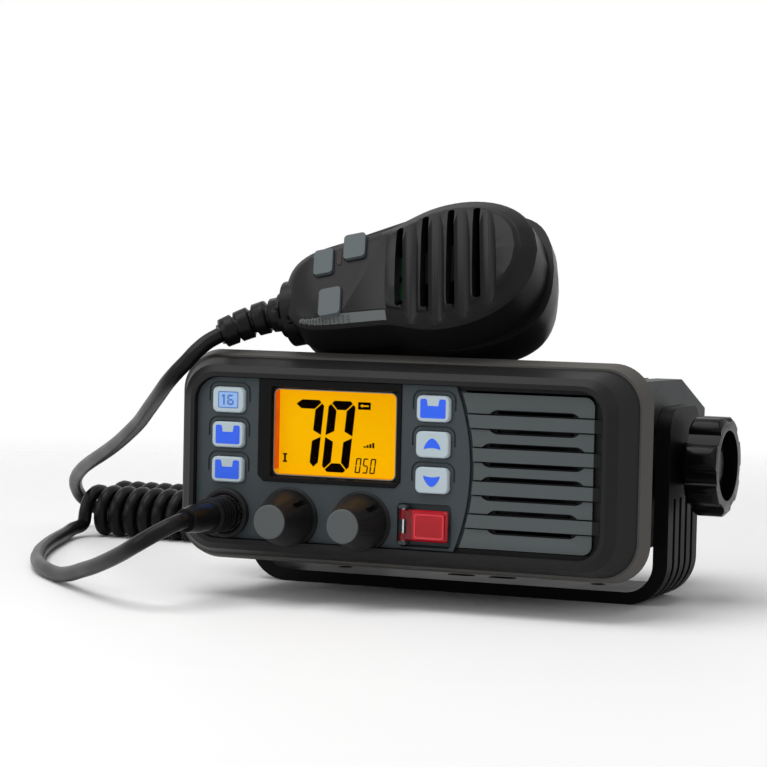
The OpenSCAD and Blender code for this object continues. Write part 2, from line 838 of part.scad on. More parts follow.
module clamp_knob(side) {
    color([0.03, 0.03, 0.03])
    on_axis(side) difference() {
        union() {
            translate([0, 0, bracket_w / 2 + run]) cylinder(h = 4.2, r1 = 7, r2 = 9);
            translate([0, 0, bracket_w / 2 + 4]) intersection() {
                linear_extrude(11) {
                    circle(clamp_r - 2.6);
                    for (i = [0 : clamp_lobes - 1]) rotate(360 * i / clamp_lobes)
                        translate([clamp_r - 4.6, 0]) circle(4.6);
                }
                rotate_extrude() polygon([
                    [0, 0], [clamp_r - 1.5, 0], [clamp_r + 0.2, 1.6],
                    [clamp_r + 0.2, 9.2], [clamp_r - 1.6, 11], [0, 11]
                ]);
            }
        }
        // the outer face is dished, and a low hub stands in the dish
        translate([0, 0, bracket_w / 2 + 9.8]) difference() {
            cylinder(h = 8, r = 11.6);
            translate([0, 0, -1]) cylinder(h = 3.2, r1 = 5.6, r2 = 5);
        }
        translate([0, 0, bracket_w / 2]) cylinder(h = 8.5, r = stud_r + 0.02);
    }
}

module left_clamp_knob() { clamp_knob(-1); }
module right_clamp_knob() { clamp_knob(1); }

module clamp_stud(side) {
    color([0.7, 0.7, 0.72])
    on_axis(side) translate([0, 0, 61]) cylinder(h = bracket_w / 2 + 8.5 - 61, r = stud_r);
}

module left_clamp_stud() { clamp_stud(-1); }
module right_clamp_stud() { clamp_stud(1); }

// --------------------------------------------------------------- microphone

// the microphone's outline: half of it as a smooth line, tail to head, and back
function both_halves(line) =
    concat(line, [for (i = [len(line) - 2 : -1 : 1]) [line[i][0], -line[i][1]]]);

mic_ring = both_halves(smooth(mic_half, mic_seg));
mic_back_ring = both_halves(smooth(mic_back_half, mic_seg));

// a point of the outline, drawn in by d towards the microphone's middle line
function drawn_in(q, d) =
    let (m = [min(max(q[0], -46), 0), 0], v = m - q, k = min(d / norm(v), 0.85))
    q + k * v;

// a solid through rings of the outline; each level is [drawn in by, height]
module mic_loft(levels, ring = mic_ring) {
    n = len(ring);
    top = (len(levels) - 1) * n;
    pts = [for (l = levels, q = ring) let (p = drawn_in(q, l[0])) [p[0], p[1], l[1]]];
    walls = [
        for (k = [0 : len(levels) - 2], j = [0 : n - 1])
            let (a = k * n + j, b = k * n + (j + 1) % n)
            each [[a, b, b + n], [a, b + n, a + n]]
    ];
    caps = [
        for (i = [0 : n / 2 - 1])
            let (u = i, v = i + 1, w = (n - i - 1) % n, x = (n - i) % n)
            each concat(
                v == w ? [] : [[top + u, top + v, top + w], [u, w, v]],
                u == x ? [] : [[top + u, top + w, top + x], [u, x, w]]
            )
    ];
    polyhedron(points = pts, faces = concat(walls, caps));
}

module mic_front_shell() {
    color([0.09, 0.09, 0.09])
    on_mic() difference() {
        union() {
            difference() {
                // straight wall, chamfer, and the edge of the slightly domed face
                mic_loft([
                    [-0.5, 0], [0, 11.5], [0.8, 12.7], [4.4, 14.6], [4.9, 15.6],
                    [6.2, 16.3], [12, 17], [18, 17.2]
                ]);
                // the keypad's end is flat and lies a step lower
                translate([-80, -40, keypad_z]) cube([54.5, 80, 10]);
                mic_loft([[mic_wall, -1], [mic_wall, ceil_z]]);
            }
            // posts of the board, and the ring that holds the capsule
            for (x = [-54, -24]) translate([x, 0, 9.1]) cylinder(h = ceil_z - 9, r = 1.6);
            translate([-8, 0, 6]) difference() {
                cylinder(h = ceil_z - 5.9, r = 9.4);
                translate([0, 0, -1]) cylinder(h = ceil_z - 5, r = 8.05);
            }
        }
        // grille slots, and beside each a flute that grows deeper as it runs out
        for (s = slots) {
            translate([s[0], 0, 9]) linear_extrude(12)
                rrect(slot_w, 2 * s[1], slot_w / 2 - e, $fn = 16);
            translate([s[0] + 3.7, s[1], flute_z]) rotate([90 + flute_tilt, 0, 0]) {
                cylinder(h = 60, r = flute_r, $fn = 32);
                sphere(flute_r, $fn = 32);
            }
        }
        for (k = mic_keys) translate([k[0], k[1], 9]) linear_extrude(9)
            rrect(k[2] + 2 * run, k[3] + 2 * run, 1.6, $fn = 20);
        translate([lens[0], lens[1], 9]) linear_extrude(9)
            rrect(lens[2], lens[3], 0.8, $fn = 16);
        // opening for the talk switch
        translate([0, 0, 2.2]) linear_extrude(7.4)
            polygon([[-43.3, 12], [-18.7, 12], [-18.7, 24.6], [-43.3, 20.4]]);
    }
}

module mic_back_shell() {
    color([0.07, 0.07, 0.07])
    on_mic() difference() {
        union() {
            mic_loft([
                [9, -21.5], [5.6, -19], [3.6, -16], [2.4, -13], [0.4, -6], [0, 0]
            ], mic_back_ring);
            translate([-10, 0, -22.6]) cylinder(h = 2, r1 = 8, r2 = 9);
        }
        mic_loft([[8, -19.3], [6, -16.5], [4.8, -13], [mic_wall, 0], [mic_wall, 1]]);
        for (x = [-52, 16]) translate([x, 0, -23]) cylinder(h = 6, r = 1.4);
    }
}

module mic_ptt() {
    color([0.14, 0.14, 0.14])
    on_mic() {
        translate([0, 0, 2.5]) linear_extrude(6.8)
            polygon([[-43, 12.6], [-19, 16.1], [-19, 22.6], [-22, 23], [-40, 19.9], [-43, 18.6]]);
        translate([0, 0, 1.2]) linear_extrude(8.7)
            polygon([[-44.4, 12.2], [-17.6, 16.1], [-17.6, 17.4], [-44.4, 13.5]]);
    }
}

module mic_key(k) {
    color([0.38, 0.41, 0.42])
    on_mic() translate([k[0], k[1], 0]) {
        translate([0, 0, 11]) linear_extrude(4.8) rrect(k[2], k[3], 1.3, $fn = 24);
        // the flange that holds the key in stays clear of the shell's wall
        translate([0, 0, 11]) linear_extrude(0.85) intersection() {
            rrect(k[2] + 1.2, k[3] + 1.4, 1.3, $fn = 24);
            translate([-k[0], -k[1]])
                polygon([for (q = mic_ring) drawn_in(q, mic_wall + 0.4)]);
        }
    }
}

module mic_key_upper() { mic_key(mic_keys[0]); }
module mic_key_inner() { mic_key(mic_keys[1]); }
module mic_key_lower() { mic_key(mic_keys[2]); }

module mic_lens() {
    color([0.5, 0.05, 0.05])
    on_mic() translate([lens[0], lens[1], 10.7]) linear_extrude(keypad_z - 10.5)
        rrect(lens[2] - 0.04, lens[3] - 0.04, 0.8, $fn = 16);
}

module mic_board() {
    color([0.05, 0.3, 0.15])
    on_mic() translate([-57, -8.5, 7.5]) cube([36.5, 17, 1.6]);
}

module mic_capsule() {
    color([0.6, 0.6, 0.6])
    on_mic() translate([-8, 0, 6]) cylinder(h = ceil_z - 6, r = 8);
}

module mic_hanger() {
    color([0.6, 0.61, 0.62])
    on_mic() translate([-10, 0, -22.6]) mirror([0, 0, 1]) rotate_extrude()
        polygon([[0, 0], [4, 0], [4, 3], [7, 4], [7, 5.2], [6, 6], [0, 6]]);
}

module mic_screws() {
    color([0.55, 0.56, 0.58])
    on_mic() for (x = [-52, 16]) translate([x, 0, -23]) {
        translate([0, 0, 1.4]) cylinder(h = 5, r = 1.35);
        cylinder(h = 1.5, r = 2.4);
    }
}

// flanges at the tail, then four soft rings that bend with the cord
module mic_relief() {
    line = smooth(relief_path, 8);
    n = len(line) - 1;
    rings = [for (i = [0 : n])
        let (k = i / n * 4 + 0.01, f = k - floor(k))
        (5.8 - 0.25 * k) * (f < 0.76 ? 1 : 0.74)];
    color([0.07, 0.07, 0.07]) tube(line, rings, 16);
    color([0.07, 0.07, 0.07])
    on_mic() difference() {
        rotate([0, -90, 0]) translate([3, -1.2, 56]) {
            cylinder(h = 7.4, r = 10.8);
            cylinder(h = 10, r = 7.4);
        }
        mic_loft([[-0.01, -25], [-0.01, 0.05]], mic_back_ring);
        mic_loft([[-0.51, 0], [-0.01, 11.5], [0.79, 12.7], [4.39, 14.61]]);
    }
}

// --------------------------------------------------------------------- cord

// how far along its rows the cord has come after t curls
function row_s(t) = t < row_curls
    ? curl_pitch * t + 1.4 * (1 - pow(0.6, t)) / (1 - pow(0.6, row_curls))
    : t < row_curls + fold_curls
        ? row_len + (t - row_curls) / fold_curls * PI * fold_r
        : row_len + PI * fold_r + (t - row_curls - fold_curls) * curl_pitch;

// turn of the rows' direction there: 0 in the front row, 180 in the back row
function row_turn(s) = min(max((s - row_len) / fold_r * 180 / PI, 0), 180);

function row_point(s) =
    let (a = row_turn(s), back = max(s - row_len - PI * fold_r, 0))
    [row_x + min(s, row_len) + fold_r * sin(a) - back,
        row_y + fold_r * (1 - cos(a)), curl_z];

// middle of the cord after t curls, wound round the rows' line
function curl_point(t) =
    let (s = row_s(t), a = row_turn(s), w = 180 - 360 * t)
    row_point(s) + curl_r * [-cos(w) * sin(a), cos(w) * cos(a), sin(w)];

all_curls = row_curls + fold_curls + back_curls;
curl_count = round(all_curls * curl_rings);
curl_line = [for (i = [0 : curl_count]) curl_point(i / curl_rings)];
curl_dir = [for (i = [0 : curl_count])
    let (t = i / curl_rings, d = 0.004)
    unit(curl_point(min(t + d, all_curls)) - curl_point(max(t - d, 0)))];

// least gap of the cord to itself, measured between its turns
curl_gap = min([
    for (i = [0 : curl_count - 6], j = [i + 6 : min(i + 26, curl_count)])
        norm(curl_line[i] - curl_line[j])
]) - cord_d;
fold_gap = min([
    for (i = [0 : 2 : curl_count], j = [i + 6 : curl_count])
        norm(curl_line[i] - curl_line[j])
]) - cord_d;
echo(least_gap_between_curls = curl_gap, least_gap_anywhere = fold_gap);
assert(min(curl_gap, fold_gap) > 0.4, "the curls come too close");

function path_len(p) = len(p) < 2 ? 0
    : [for (i = [1 : len(p) - 1]) norm(p[i] - p[i - 1])] * [for (i = [1 : len(p) - 1]) 1];

// each lead meets the curls face to face, one cord's width of it straight
plug_line = smooth(concat(plug_route,
    [curl_line[0] - cord_d * curl_dir[0], curl_line[0]]), 3);
mic_line_end = curl_line[curl_count];
mic_lead_line = smooth(concat(mic_route,
    [mic_line_end + cord_d * curl_dir[curl_count], mic_line_end]), 3);
echo(plug_lead = path_len(plug_line), mic_lead = path_len(mic_lead_line),
    curls = path_len(curl_line));

module cord_curls() {
    color([0.06, 0.06, 0.06])
    tube(curl_line, same(cord_d / 2, curl_line), curl_sides, curl_dir);
}

module lead(line, first, last) {
    t = tangents(line);
    n = len(line) - 1;
    dirs = [for (i = [0 : n]) i == 0 ? first : i == n ? last : t[i]];
    color([0.06, 0.06, 0.06]) tube(line, same(cord_d / 2, line), 10, dirs);
}

module cord_plug_lead() { lead(plug_line, [0, -1, 0], curl_dir[0]); }

module cord_mic_lead() {
    lead(mic_lead_line, unit(relief_path[4] - relief_path[3]), -curl_dir[curl_count]);
}

// -------------------------------------------------------------------- nodes

bracket();
bezel();
gasket();
front_panel();
lcd_surround();
lcd_glass();
lcd_light_frame();
lcd_display();
speaker_grille();
speaker_frame();
speaker_cone();
speaker_magnet();
key_left_top();
key_left_middle();
key_left_low();
key_right_top();
key_up();
key_down();
key_mat();
squelch_knob();
volume_knob();
squelch_shaft();
volume_shaft();
knob_collars();
control_pots();
distress_cover();
distress_pin();
distress_button();
mic_socket();
mic_plug();
plug_boot();
chassis();
housing_screws();
tilt_washers();
thread_inserts();
front_board();
main_board();
antenna_socket();
power_socket();
data_socket();
left_clamp_knob();
right_clamp_knob();
left_clamp_stud();
right_clamp_stud();
mic_front_shell();
mic_back_shell();
mic_ptt();
mic_key_upper();
mic_key_inner();
mic_key_lower();
mic_lens();
mic_board();
mic_capsule();
mic_hanger();
mic_screws();
mic_relief();
cord_curls();
cord_plug_lead();
cord_mic_lead();
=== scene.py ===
# %% [markdown]
# # A fixed-mount marine radio in its bracket
# The solids of this object come packed from its CAD source. This lesson dresses
# them: it rounds their edges, gives each one its finish, and models what is too
# fine for the CAD, such as the figures in the display and the soft rings of the
# strain relief. Everything is in metres, in the frame of the CAD.

# %% Load the frame
import json
import math

import bmesh
import bpy
from mathutils import Matrix, Vector

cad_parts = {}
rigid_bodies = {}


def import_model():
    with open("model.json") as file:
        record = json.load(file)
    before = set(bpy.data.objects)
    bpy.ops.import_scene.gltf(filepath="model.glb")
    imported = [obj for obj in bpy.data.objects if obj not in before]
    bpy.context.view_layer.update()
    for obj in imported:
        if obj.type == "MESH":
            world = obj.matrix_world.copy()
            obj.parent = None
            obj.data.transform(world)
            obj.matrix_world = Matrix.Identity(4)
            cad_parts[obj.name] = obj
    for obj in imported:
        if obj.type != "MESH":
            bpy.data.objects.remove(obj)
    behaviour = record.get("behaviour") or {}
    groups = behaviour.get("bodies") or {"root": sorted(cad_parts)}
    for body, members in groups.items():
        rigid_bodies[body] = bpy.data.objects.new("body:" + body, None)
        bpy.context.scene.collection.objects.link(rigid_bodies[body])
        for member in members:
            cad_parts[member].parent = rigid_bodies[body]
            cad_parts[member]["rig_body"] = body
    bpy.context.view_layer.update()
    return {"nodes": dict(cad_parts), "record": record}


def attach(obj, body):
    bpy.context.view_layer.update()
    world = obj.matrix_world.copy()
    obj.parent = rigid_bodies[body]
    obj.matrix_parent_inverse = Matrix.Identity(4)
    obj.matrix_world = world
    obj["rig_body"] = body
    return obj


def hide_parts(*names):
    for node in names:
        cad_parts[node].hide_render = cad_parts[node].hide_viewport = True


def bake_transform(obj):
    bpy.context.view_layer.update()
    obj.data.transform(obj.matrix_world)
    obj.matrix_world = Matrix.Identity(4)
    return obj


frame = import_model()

nodes = frame["nodes"]
MM = 0.001

# %% [markdown]
# ## Into the scene
# A camera, a lamp or a piece is a name, its data and a link to the scene. Pieces
# stay at the origin, so that a piece's place is written in its own mesh.


# %% Put a thing in the scene
def linked(name, data):
    """A new object with this data, in the scene."""
    made = bpy.data.objects.new(name, data)
    bpy.context.scene.collection.objects.link(made)
    return made


print("linked is ready")

# %% [markdown]
# ## Two frames
# The panel's pieces are easiest to place by their distance from the panel's face
# and from the tilt axis. The microphone leans on the housing, so its pieces are
# placed in a frame that leans with it.

# %% Places on the panel and on the microphone
PANEL_Y, AXIS_Z = -71, 46                # mm
MIC_PLACE = (
    Matrix.Translation(Vector((16.8, -44.1, 104.7)) * MM)
    @ Matrix.Rotation(math.radians(5), 4, "Z")
    @ Matrix.Rotation(math.radians(-11.5), 4, "Y")
    @ Matrix.Rotation(math.radians(55.4), 4, "X")
)


def on_panel(x, y, z):
    return Vector((x, y + PANEL_Y, z + AXIS_Z)) * MM


def on_mic(x, y, z):
    return MIC_PLACE @ (Vector((x, y, z)) * MM)


print("panel centre", on_panel(0, 0, 0)[:], "microphone", on_mic(0, 0, 15)[:])

# %% [markdown]
# ## The camera
# The photograph was taken from the right and almost level with the panel. A long
# lens and a small roll repeat its perspective, so a piece can be compared with
# the photograph at the same spot of the picture.

# %% Camera at the photograph's viewing angle
AZIMUTH, ELEVATION, ROLL = (math.radians(a) for a in (22.311, 2.821, 1.228))
DISTANCE, LENS, SENSOR, NEAR_LIMIT = 0.9, 132.87, 36, 0.05
AIM = Vector((-0.00414, -0.071, 0.07213))

right = Vector((math.cos(AZIMUTH), math.sin(AZIMUTH), 0))
back = Vector((
    math.sin(AZIMUTH) * math.cos(ELEVATION),
    -math.cos(AZIMUTH) * math.cos(ELEVATION),
    math.sin(ELEVATION),
))
up = back.cross(right)
rolled_right = math.cos(ROLL) * right + math.sin(ROLL) * up
rolled_up = math.cos(ROLL) * up - math.sin(ROLL) * right

lens = bpy.data.cameras.new("camera")
lens.lens, lens.sensor_width, lens.clip_start = LENS, SENSOR, NEAR_LIMIT
camera = linked("camera", lens)
camera.matrix_world = Matrix.Translation(AIM + DISTANCE * back) @ Matrix(
    (rolled_right, rolled_up, back)
).transposed().to_4x4()
bpy.context.scene.camera = camera
bpy.context.scene.view_settings.view_transform = "Standard"
print("camera at", [round(v, 4) for v in camera.matrix_world.translation])

# %% [markdown]
# ## Writing materials
# A node tree is hard to read as a list of links. The two classes below let a
# material be written as ordinary maths: `Number` wraps a socket and adds a Math
# node for each operator, and `Graph` makes any other node in one call.


# %% Number and Graph
class Number:
    """A number that the nodes work out for each point of a surface."""

    def __init__(self, graph, socket):
        self.graph, self.socket = graph, socket

    def __add__(self, other):
        return self.graph.maths("ADD", self, other)

    def __sub__(self, other):
        return self.graph.maths("SUBTRACT", self, other)

    def __rsub__(self, other):
        return self.graph.maths("SUBTRACT", other, self)

    def __mul__(self, other):
        return self.graph.maths("MULTIPLY", self, other)

    def __truediv__(self, other):
        return self.graph.maths("DIVIDE", self, other)

    def __gt__(self, other):
        return self.graph.maths("GREATER_THAN", self, other)

    def __lt__(self, other):
        return self.graph.maths("LESS_THAN", self, other)

    __radd__, __rmul__ = __add__, __mul__


class Graph:
    """A node tree, with one method that makes any node in it."""

    def __init__(self, tree):
        self.tree = tree
        tree.nodes.clear()

    def node(self, kind, settings=None, inputs=None, output=0):
        made = self.tree.nodes.new(kind)
        for name, value in (settings or {}).items():
            setattr(made, name, value)
        for name, value in (inputs or {}).items():
            if isinstance(value, Number):
                self.tree.links.new(value.socket, made.inputs[name])
            else:
                made.inputs[name].default_value = value
        return Number(self, made.outputs[output])

    def maths(self, operation, *values):
        settings = {"operation": operation}
        return self.node("ShaderNodeMath", settings, dict(enumerate(values)))

    def held(self, value):
        """The value, held between 0 and 1."""
        return self.maths("MINIMUM", self.maths("MAXIMUM", value, 0.0), 1.0)

    def end(self, kind, result):
        """The tree's last node, which takes what the others made."""
        self.tree.links.new(result.socket, self.tree.nodes.new(kind).inputs[0])


print("Number and Graph are ready")

# %% [markdown]
# A colour is picked as a screen shows it, but the renderer counts in amounts of
# light, so `seen` turns the one into the other.


# %% Colours as the photograph shows them
def seen(red, green, blue):
    """A colour given as it shows on a screen, 0 to 255, made linear."""
    return tuple(
        c / 12.92 if c <= 0.04045 else ((c + 0.055) / 1.055) ** 2.4
        for c in (red / 255, green / 255, blue / 255)
    ) + (1.0,)


print("slate", [round(c, 3) for c in seen(62, 68, 70)])

# %% [markdown]
# ## The finishes
# Moulded plastic, rubber and powder coat differ mostly in how coarse their skin
# is and how it scatters light. Each finish starts from one recipe: a fine grain
# that lifts the surface by a few hundredths of a millimetre at most, and a slow
# mottling of colour and gloss.


# %% A material that reads the object's own coordinates
class Finish(Graph):
    """A material with a Principled shader, read in Object coordinates."""

    def __init__(self, name, roughness=0.5, **fixed):
        self.material = bpy.data.materials.new(name)
        self.material.use_nodes = True
        super().__init__(self.material.node_tree)
        self.shader = self.tree.nodes.new("ShaderNodeBsdfPrincipled")
        self.end("ShaderNodeOutputMaterial", Number(self, self.shader.outputs[0]))
        self.place = self.node("ShaderNodeTexCoord", output="Object")
        self.set("Roughness", roughness)
        for socket, value in fixed.items():
            self.set(socket.replace("_", " "), value)

    def set(self, socket, value):
        if isinstance(value, Number):
            self.tree.links.new(value.socket, self.shader.inputs[socket])
        else:
            self.shader.inputs[socket].default_value = value

    def axis(self, name):
        """How far along X, Y or Z a point of the surface lies, in metres."""
        inputs = {"Vector": self.place}
        return self.node("ShaderNodeSeparateXYZ", inputs=inputs, output=name)

    def noise(self, scale, detail=2.0):
        inputs = {"Vector": self.place, "Scale": scale, "Detail": detail}
        return self.node("ShaderNodeTexNoise", inputs=inputs)

    def blend(self, amount, first, second):
        # a Mix node has its colours at inputs 6 and 7 and at output 2
        inputs = {0: amount, 6: first, 7: second}
        return self.node("ShaderNodeMix", {"data_type": "RGBA"}, inputs, output=2)

    def bump(self, height, lift):
        inputs = {"Height": height, "Distance": lift, "Strength": 1.0}
        self.set("Normal", self.node("ShaderNodeBump", inputs=inputs))


print("Finish is ready")

# %% The recipe for a moulded or coated skin
MOTTLE_SCALE, MOTTLE_DETAIL = 60, 3
SLOW_GLOSS, FINE_GLOSS = 0.12, 0.08      # how far the roughness wanders


def shade(colour, factor):
    """The colour, made darker or lighter by a factor."""
    return tuple(c * factor for c in colour[:3]) + (1.0,)


def skin(name, colour, roughness=0.5, grain=0.35, lift=0.02, mottle=0.12, **fixed):
    """A moulded or coated skin. grain is its coarseness and lift its depth, in mm."""
    finish = Finish(name, roughness, **fixed)
    slow, fine = finish.noise(MOTTLE_SCALE, MOTTLE_DETAIL), finish.noise(1 / MM / grain, 1)
    finish.colour = finish.blend(slow, shade(colour, 1 - mottle), shade(colour, 1 + mottle))
    finish.set("Base Color", finish.colour)
    wander = (slow - 0.5) * SLOW_GLOSS
    finish.set("Roughness", roughness + wander + (fine - 0.5) * FINE_GLOSS)
    finish.bump(fine, lift * MM)
    return finish


def moulded(*recipe, **fixed):
    return skin(*recipe, **fixed).material


print("recipe ready")

# %% [markdown]
# Each row of the table is one finish: its colour, its roughness, the coarseness
# and depth of its grain in millimetres, its mottling, and what is the same all
# over it. Most of these dark plastics hardly mirror the room.

# %% One finish for each material of the record
DULL, SHINY = {"Specular_IOR_Level": 0.12}, {"Specular_IOR_Level": 0.1}
COATED, METAL, USUAL = {"Specular_IOR_Level": 0.05}, {"Metallic": 1.0}, {}
RECIPES = {
    "case_plastic": (seen(31, 31, 32), 0.44, 0.35, 0.016, DULL),
    "gasket_rubber": (seen(84, 82, 79), 0.6, 0.4, 0.015, 0.06, DULL),
    "panel_plastic": (seen(64, 71, 74), 0.55, 0.25, 0.01, 0.05, DULL),
    "gloss_black": (seen(9, 9, 10), 0.2, 2.0, 0.002, 0.05, SHINY),
    "key_rubber": (seen(178, 193, 200), 0.45, 0.3, 0.01, 0.03, USUAL),
    "mat_rubber": (seen(24, 24, 25), 0.7, DULL),
    "red_rubber": (seen(170, 4, 26), 0.5, 0.3, 0.01, USUAL),
    "knob_black": (seen(32, 32, 33), 0.42, 0.25, 0.012, DULL),
    "cord_rubber": (seen(16, 16, 17), 0.34, 0.5, 0.012, 0.15, DULL),
    "mic_plastic": (seen(18, 18, 19), 0.36, 0.25, 0.012, DULL),
    "mic_key": (seen(88, 95, 97), 0.5, 0.3, 0.01, 0.05, DULL),
    "coated_metal": (seen(14, 14, 15), 0.44, 0.9, 0.015, COATED),
    "cast_case": (seen(44, 47, 49), 0.5, 0.8, 0.03, DULL),
    "steel": (seen(196, 198, 200), 0.28, 0.6, 0.006, 0.05, METAL),
    "brass": (seen(212, 180, 110), 0.25, 0.6, 0.004, METAL),
    "nickel": (seen(208, 208, 204), 0.2, 0.8, 0.004, 0.04, METAL),
    "board": (seen(20, 92, 50), 0.35, 1.2, 0.01, USUAL),
    "paper": (seen(14, 14, 14), 0.85, 0.8, 0.06, 0.2, DULL),
    "lens_red": (seen(26, 5, 5), 0.15, 2.0, 0.002, 0.05, DULL),
}
FINISHES = {
    name: moulded(name, *recipe, **fixed) for name, (*recipe, fixed) in RECIPES.items()
}
print(len(FINISHES), "opaque finishes")

# %% [markdown]
# The display is lit from its edges: a warm frame of light runs round it, orange
# at the top and amber at the foot, and the sheet itself is amber. The window over
# it is clear, and the distress cover is clear red, darker beside its pin. These
# four give off light or let it through, so they are written one by one.

# %% Window and display
window = Finish("window", 0.05, Specular_IOR_Level=0.12)
tint = window.blend(window.noise(40), (0.0, 0.0, 0.0, 1), (0.01, 0.01, 0.01, 1))
window.set("Base Color", tint)
window.set("Alpha", 0.02 + window.noise(25) * 0.02)

display = Finish("display", 0.6, Specular_IOR_Level=0.0)
glow = display.noise(35, 1)
display.set("Base Color", display.blend(glow, seen(166, 118, 0), seen(176, 128, 0)))
display.set("Emission Color", display.blend(glow, seen(248, 176, 0), seen(255, 192, 4)))
display.set("Emission Strength", 0.7)
print("window and display ready")

# %% Light frame and red cover
AMBER_BELOW, PIN_SIDE = 43, 7.4          # mm, up from the floor and across

guide = Finish("light_guide", 0.4, Specular_IOR_Level=0.0)
streak = guide.noise(260, 2)
orange = guide.blend(streak, seen(226, 78, 4), seen(252, 112, 12))
at_foot = guide.axis("Z") < AMBER_BELOW * MM
guide.set("Base Color", guide.blend(streak, seen(130, 36, 0), seen(160, 66, 4)))
guide.set("Emission Color", guide.blend(at_foot, orange, seen(252, 182, 2)))
guide.set("Emission Strength", 0.62)

red_clear = Finish("red_clear", 0.1, Specular_IOR_Level=0.35)
depth = red_clear.noise(90, 2)
bright_red = red_clear.blend(depth, seen(152, 0, 16), seen(186, 0, 28))
by_pin = red_clear.axis("X") < PIN_SIDE * MM
red_clear.set("Base Color", red_clear.blend(by_pin, bright_red, seen(112, 2, 14)))
red_clear.set("Alpha", 0.86 + depth * 0.12)
red_clear.set("Roughness", 0.08 + depth * 0.08)
red_clear.bump(red_clear.noise(700, 1), 0.01 * MM)
print("light frame and red cover ready")

# %% [markdown]
# Two more finishes change at a place on the piece. The grille's slots and the
# ends of its bars lie in shade, and the front of a control knob is a paler disc
# than its sides. A comparison of a coordinate with a number is 0 or 1, and
# chooses between the two colours.

# %% Grille and knob
BARS_END, SLOT_FLOOR, KNOB_LENGTH = 66.7, -70.5, 15.7    # mm

grille = skin("grille", seen(80, 86, 87), 0.55, 0.25, 0.01, 0.05, **DULL)
beyond_bars, in_slot = grille.axis("X") > BARS_END * MM, grille.axis("Y") > SLOT_FLOOR * MM
shaded = grille.maths("MAXIMUM", beyond_bars, in_slot)
grille.set("Base Color", grille.blend(shaded, grille.colour, seen(18, 19, 20)))

knob = skin("knob", seen(26, 26, 27), 0.4, 0.25, 0.012, **DULL)
on_front = knob.axis("Y") < (PANEL_Y - KNOB_LENGTH) * MM
knob.set("Base Color", knob.blend(on_front, knob.colour, seen(84, 88, 88)))

FINISHES |= {
    "grille": grille.material,
    "knob": knob.material,
    "window": window.material,
    "display": display.material,
    "light_guide": guide.material,
    "red_clear": red_clear.material,
}
slot_of = {s["node"]: s["material_slot"] for s in frame["record"]["subparts"]}
print(sorted(set(slot_of.values()) - set(FINISHES)), "slots without a finish")

# %% [markdown]
# ## Dressing a solid
# CAD edges are perfectly sharp, and nothing real is. `dress` makes a clean copy
# of a solid, joins its loose triangles into faces, and rounds every edge by a
# few tenths of a millimetre, which is what catches the light on a moulded part.

# %% Copy, clean and round a solid
SAME_PLACE, FLAT, ROUND_STEPS = 2e-6, math.radians(0.4), 2


def settle(piece, body, replaced=()):
    """Hands a finished piece to the frame."""
    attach(piece, body)
    for name in [replaced] if isinstance(replaced, str) else replaced:
        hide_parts(name)
    return piece


def smooth_shade(mesh, crease):
    """Smooth shading, with a sharp edge where faces turn by more than crease degrees."""
    for polygon in mesh.polygons:
        polygon.use_smooth = True
    mesh.set_sharp_from_angle(angle=math.radians(crease))


def dress(name, rounding=0.25, finish=None, crease=32):
    """A rounded copy of a solid, in its finish, in the solid's place."""
    source = nodes[name]
    mesh = source.data.copy()
    work = bmesh.new()
    work.from_mesh(mesh)
    bmesh.ops.remove_doubles(work, verts=work.verts, dist=SAME_PLACE)
    bmesh.ops.dissolve_limit(work, angle_limit=FLAT, verts=work.verts, edges=work.edges)
    work.to_mesh(mesh)
    work.free()
    mesh.materials.clear()
    mesh.materials.append(FINISHES[finish or slot_of[name]])
    for polygon in mesh.polygons:
        polygon.material_index = 0
    smooth_shade(mesh, crease)
    piece = linked(name + "_dressed", mesh)
    if rounding:
        bevel = piece.modifiers.new("rounded edges", "BEVEL")
        bevel.width, bevel.segments = rounding * MM, ROUND_STEPS
        bevel.limit_method, bevel.angle_limit = "ANGLE", math.radians(crease)
        bevel.harden_normals = True
    return settle(piece, source["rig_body"], name)


def dress_all(roundings):
    """Several solids, each with its own rounding in mm."""
    for name, rounding in roundings.items():
        dress(name, rounding)


print("dress and settle are ready")

# %% [markdown]
# ## Growing pieces with Geometry Nodes
# A tube, a row of ribs or a patch of studs is a rule and not a drawing. `Growth`
# is a `Graph` for geometry: the tree gets named sizes, and `grow` feeds it a
# line or a set of points and keeps the result as one plain mesh.


# %% Growth and grow
class Growth(Graph):
    """A Geometry Nodes tree with named sizes."""

    def __init__(self, name, *sizes):
        super().__init__(bpy.data.node_groups.new(name, "GeometryNodeTree"))
        socket = self.tree.interface.new_socket
        socket("Geometry", in_out="INPUT", socket_type="NodeSocketGeometry")
        for size in sizes:
            socket(size, in_out="INPUT", socket_type="NodeSocketFloat")
        socket("Geometry", in_out="OUTPUT", socket_type="NodeSocketGeometry")
        given = self.tree.nodes.new("NodeGroupInput")
        self.given = {out.name: Number(self, out) for out in given.outputs if out.name}

    def line(self):
        """The line that the tree is given."""
        return self.node("GeometryNodeMeshToCurve", inputs={0: self.given["Geometry"]})

    def tube(self, line, sides, radius):
        """A closed round tube along a line."""
        section = self.node("GeometryNodeCurvePrimitiveCircle", {"mode": "RADIUS"},
                            {"Resolution": sides, "Radius": radius})
        return self.node("GeometryNodeCurveToMesh", inputs={
            "Curve": line, "Profile Curve": section, "Fill Caps": True})

    def finish(self, geometry, material):
        """Ends the tree: real faces in one material."""
        real = self.node("GeometryNodeRealizeInstances", inputs={0: geometry})
        inputs = {"Geometry": real, "Material": material}
        self.end("NodeGroupOutput", self.node("GeometryNodeSetMaterial", inputs=inputs))


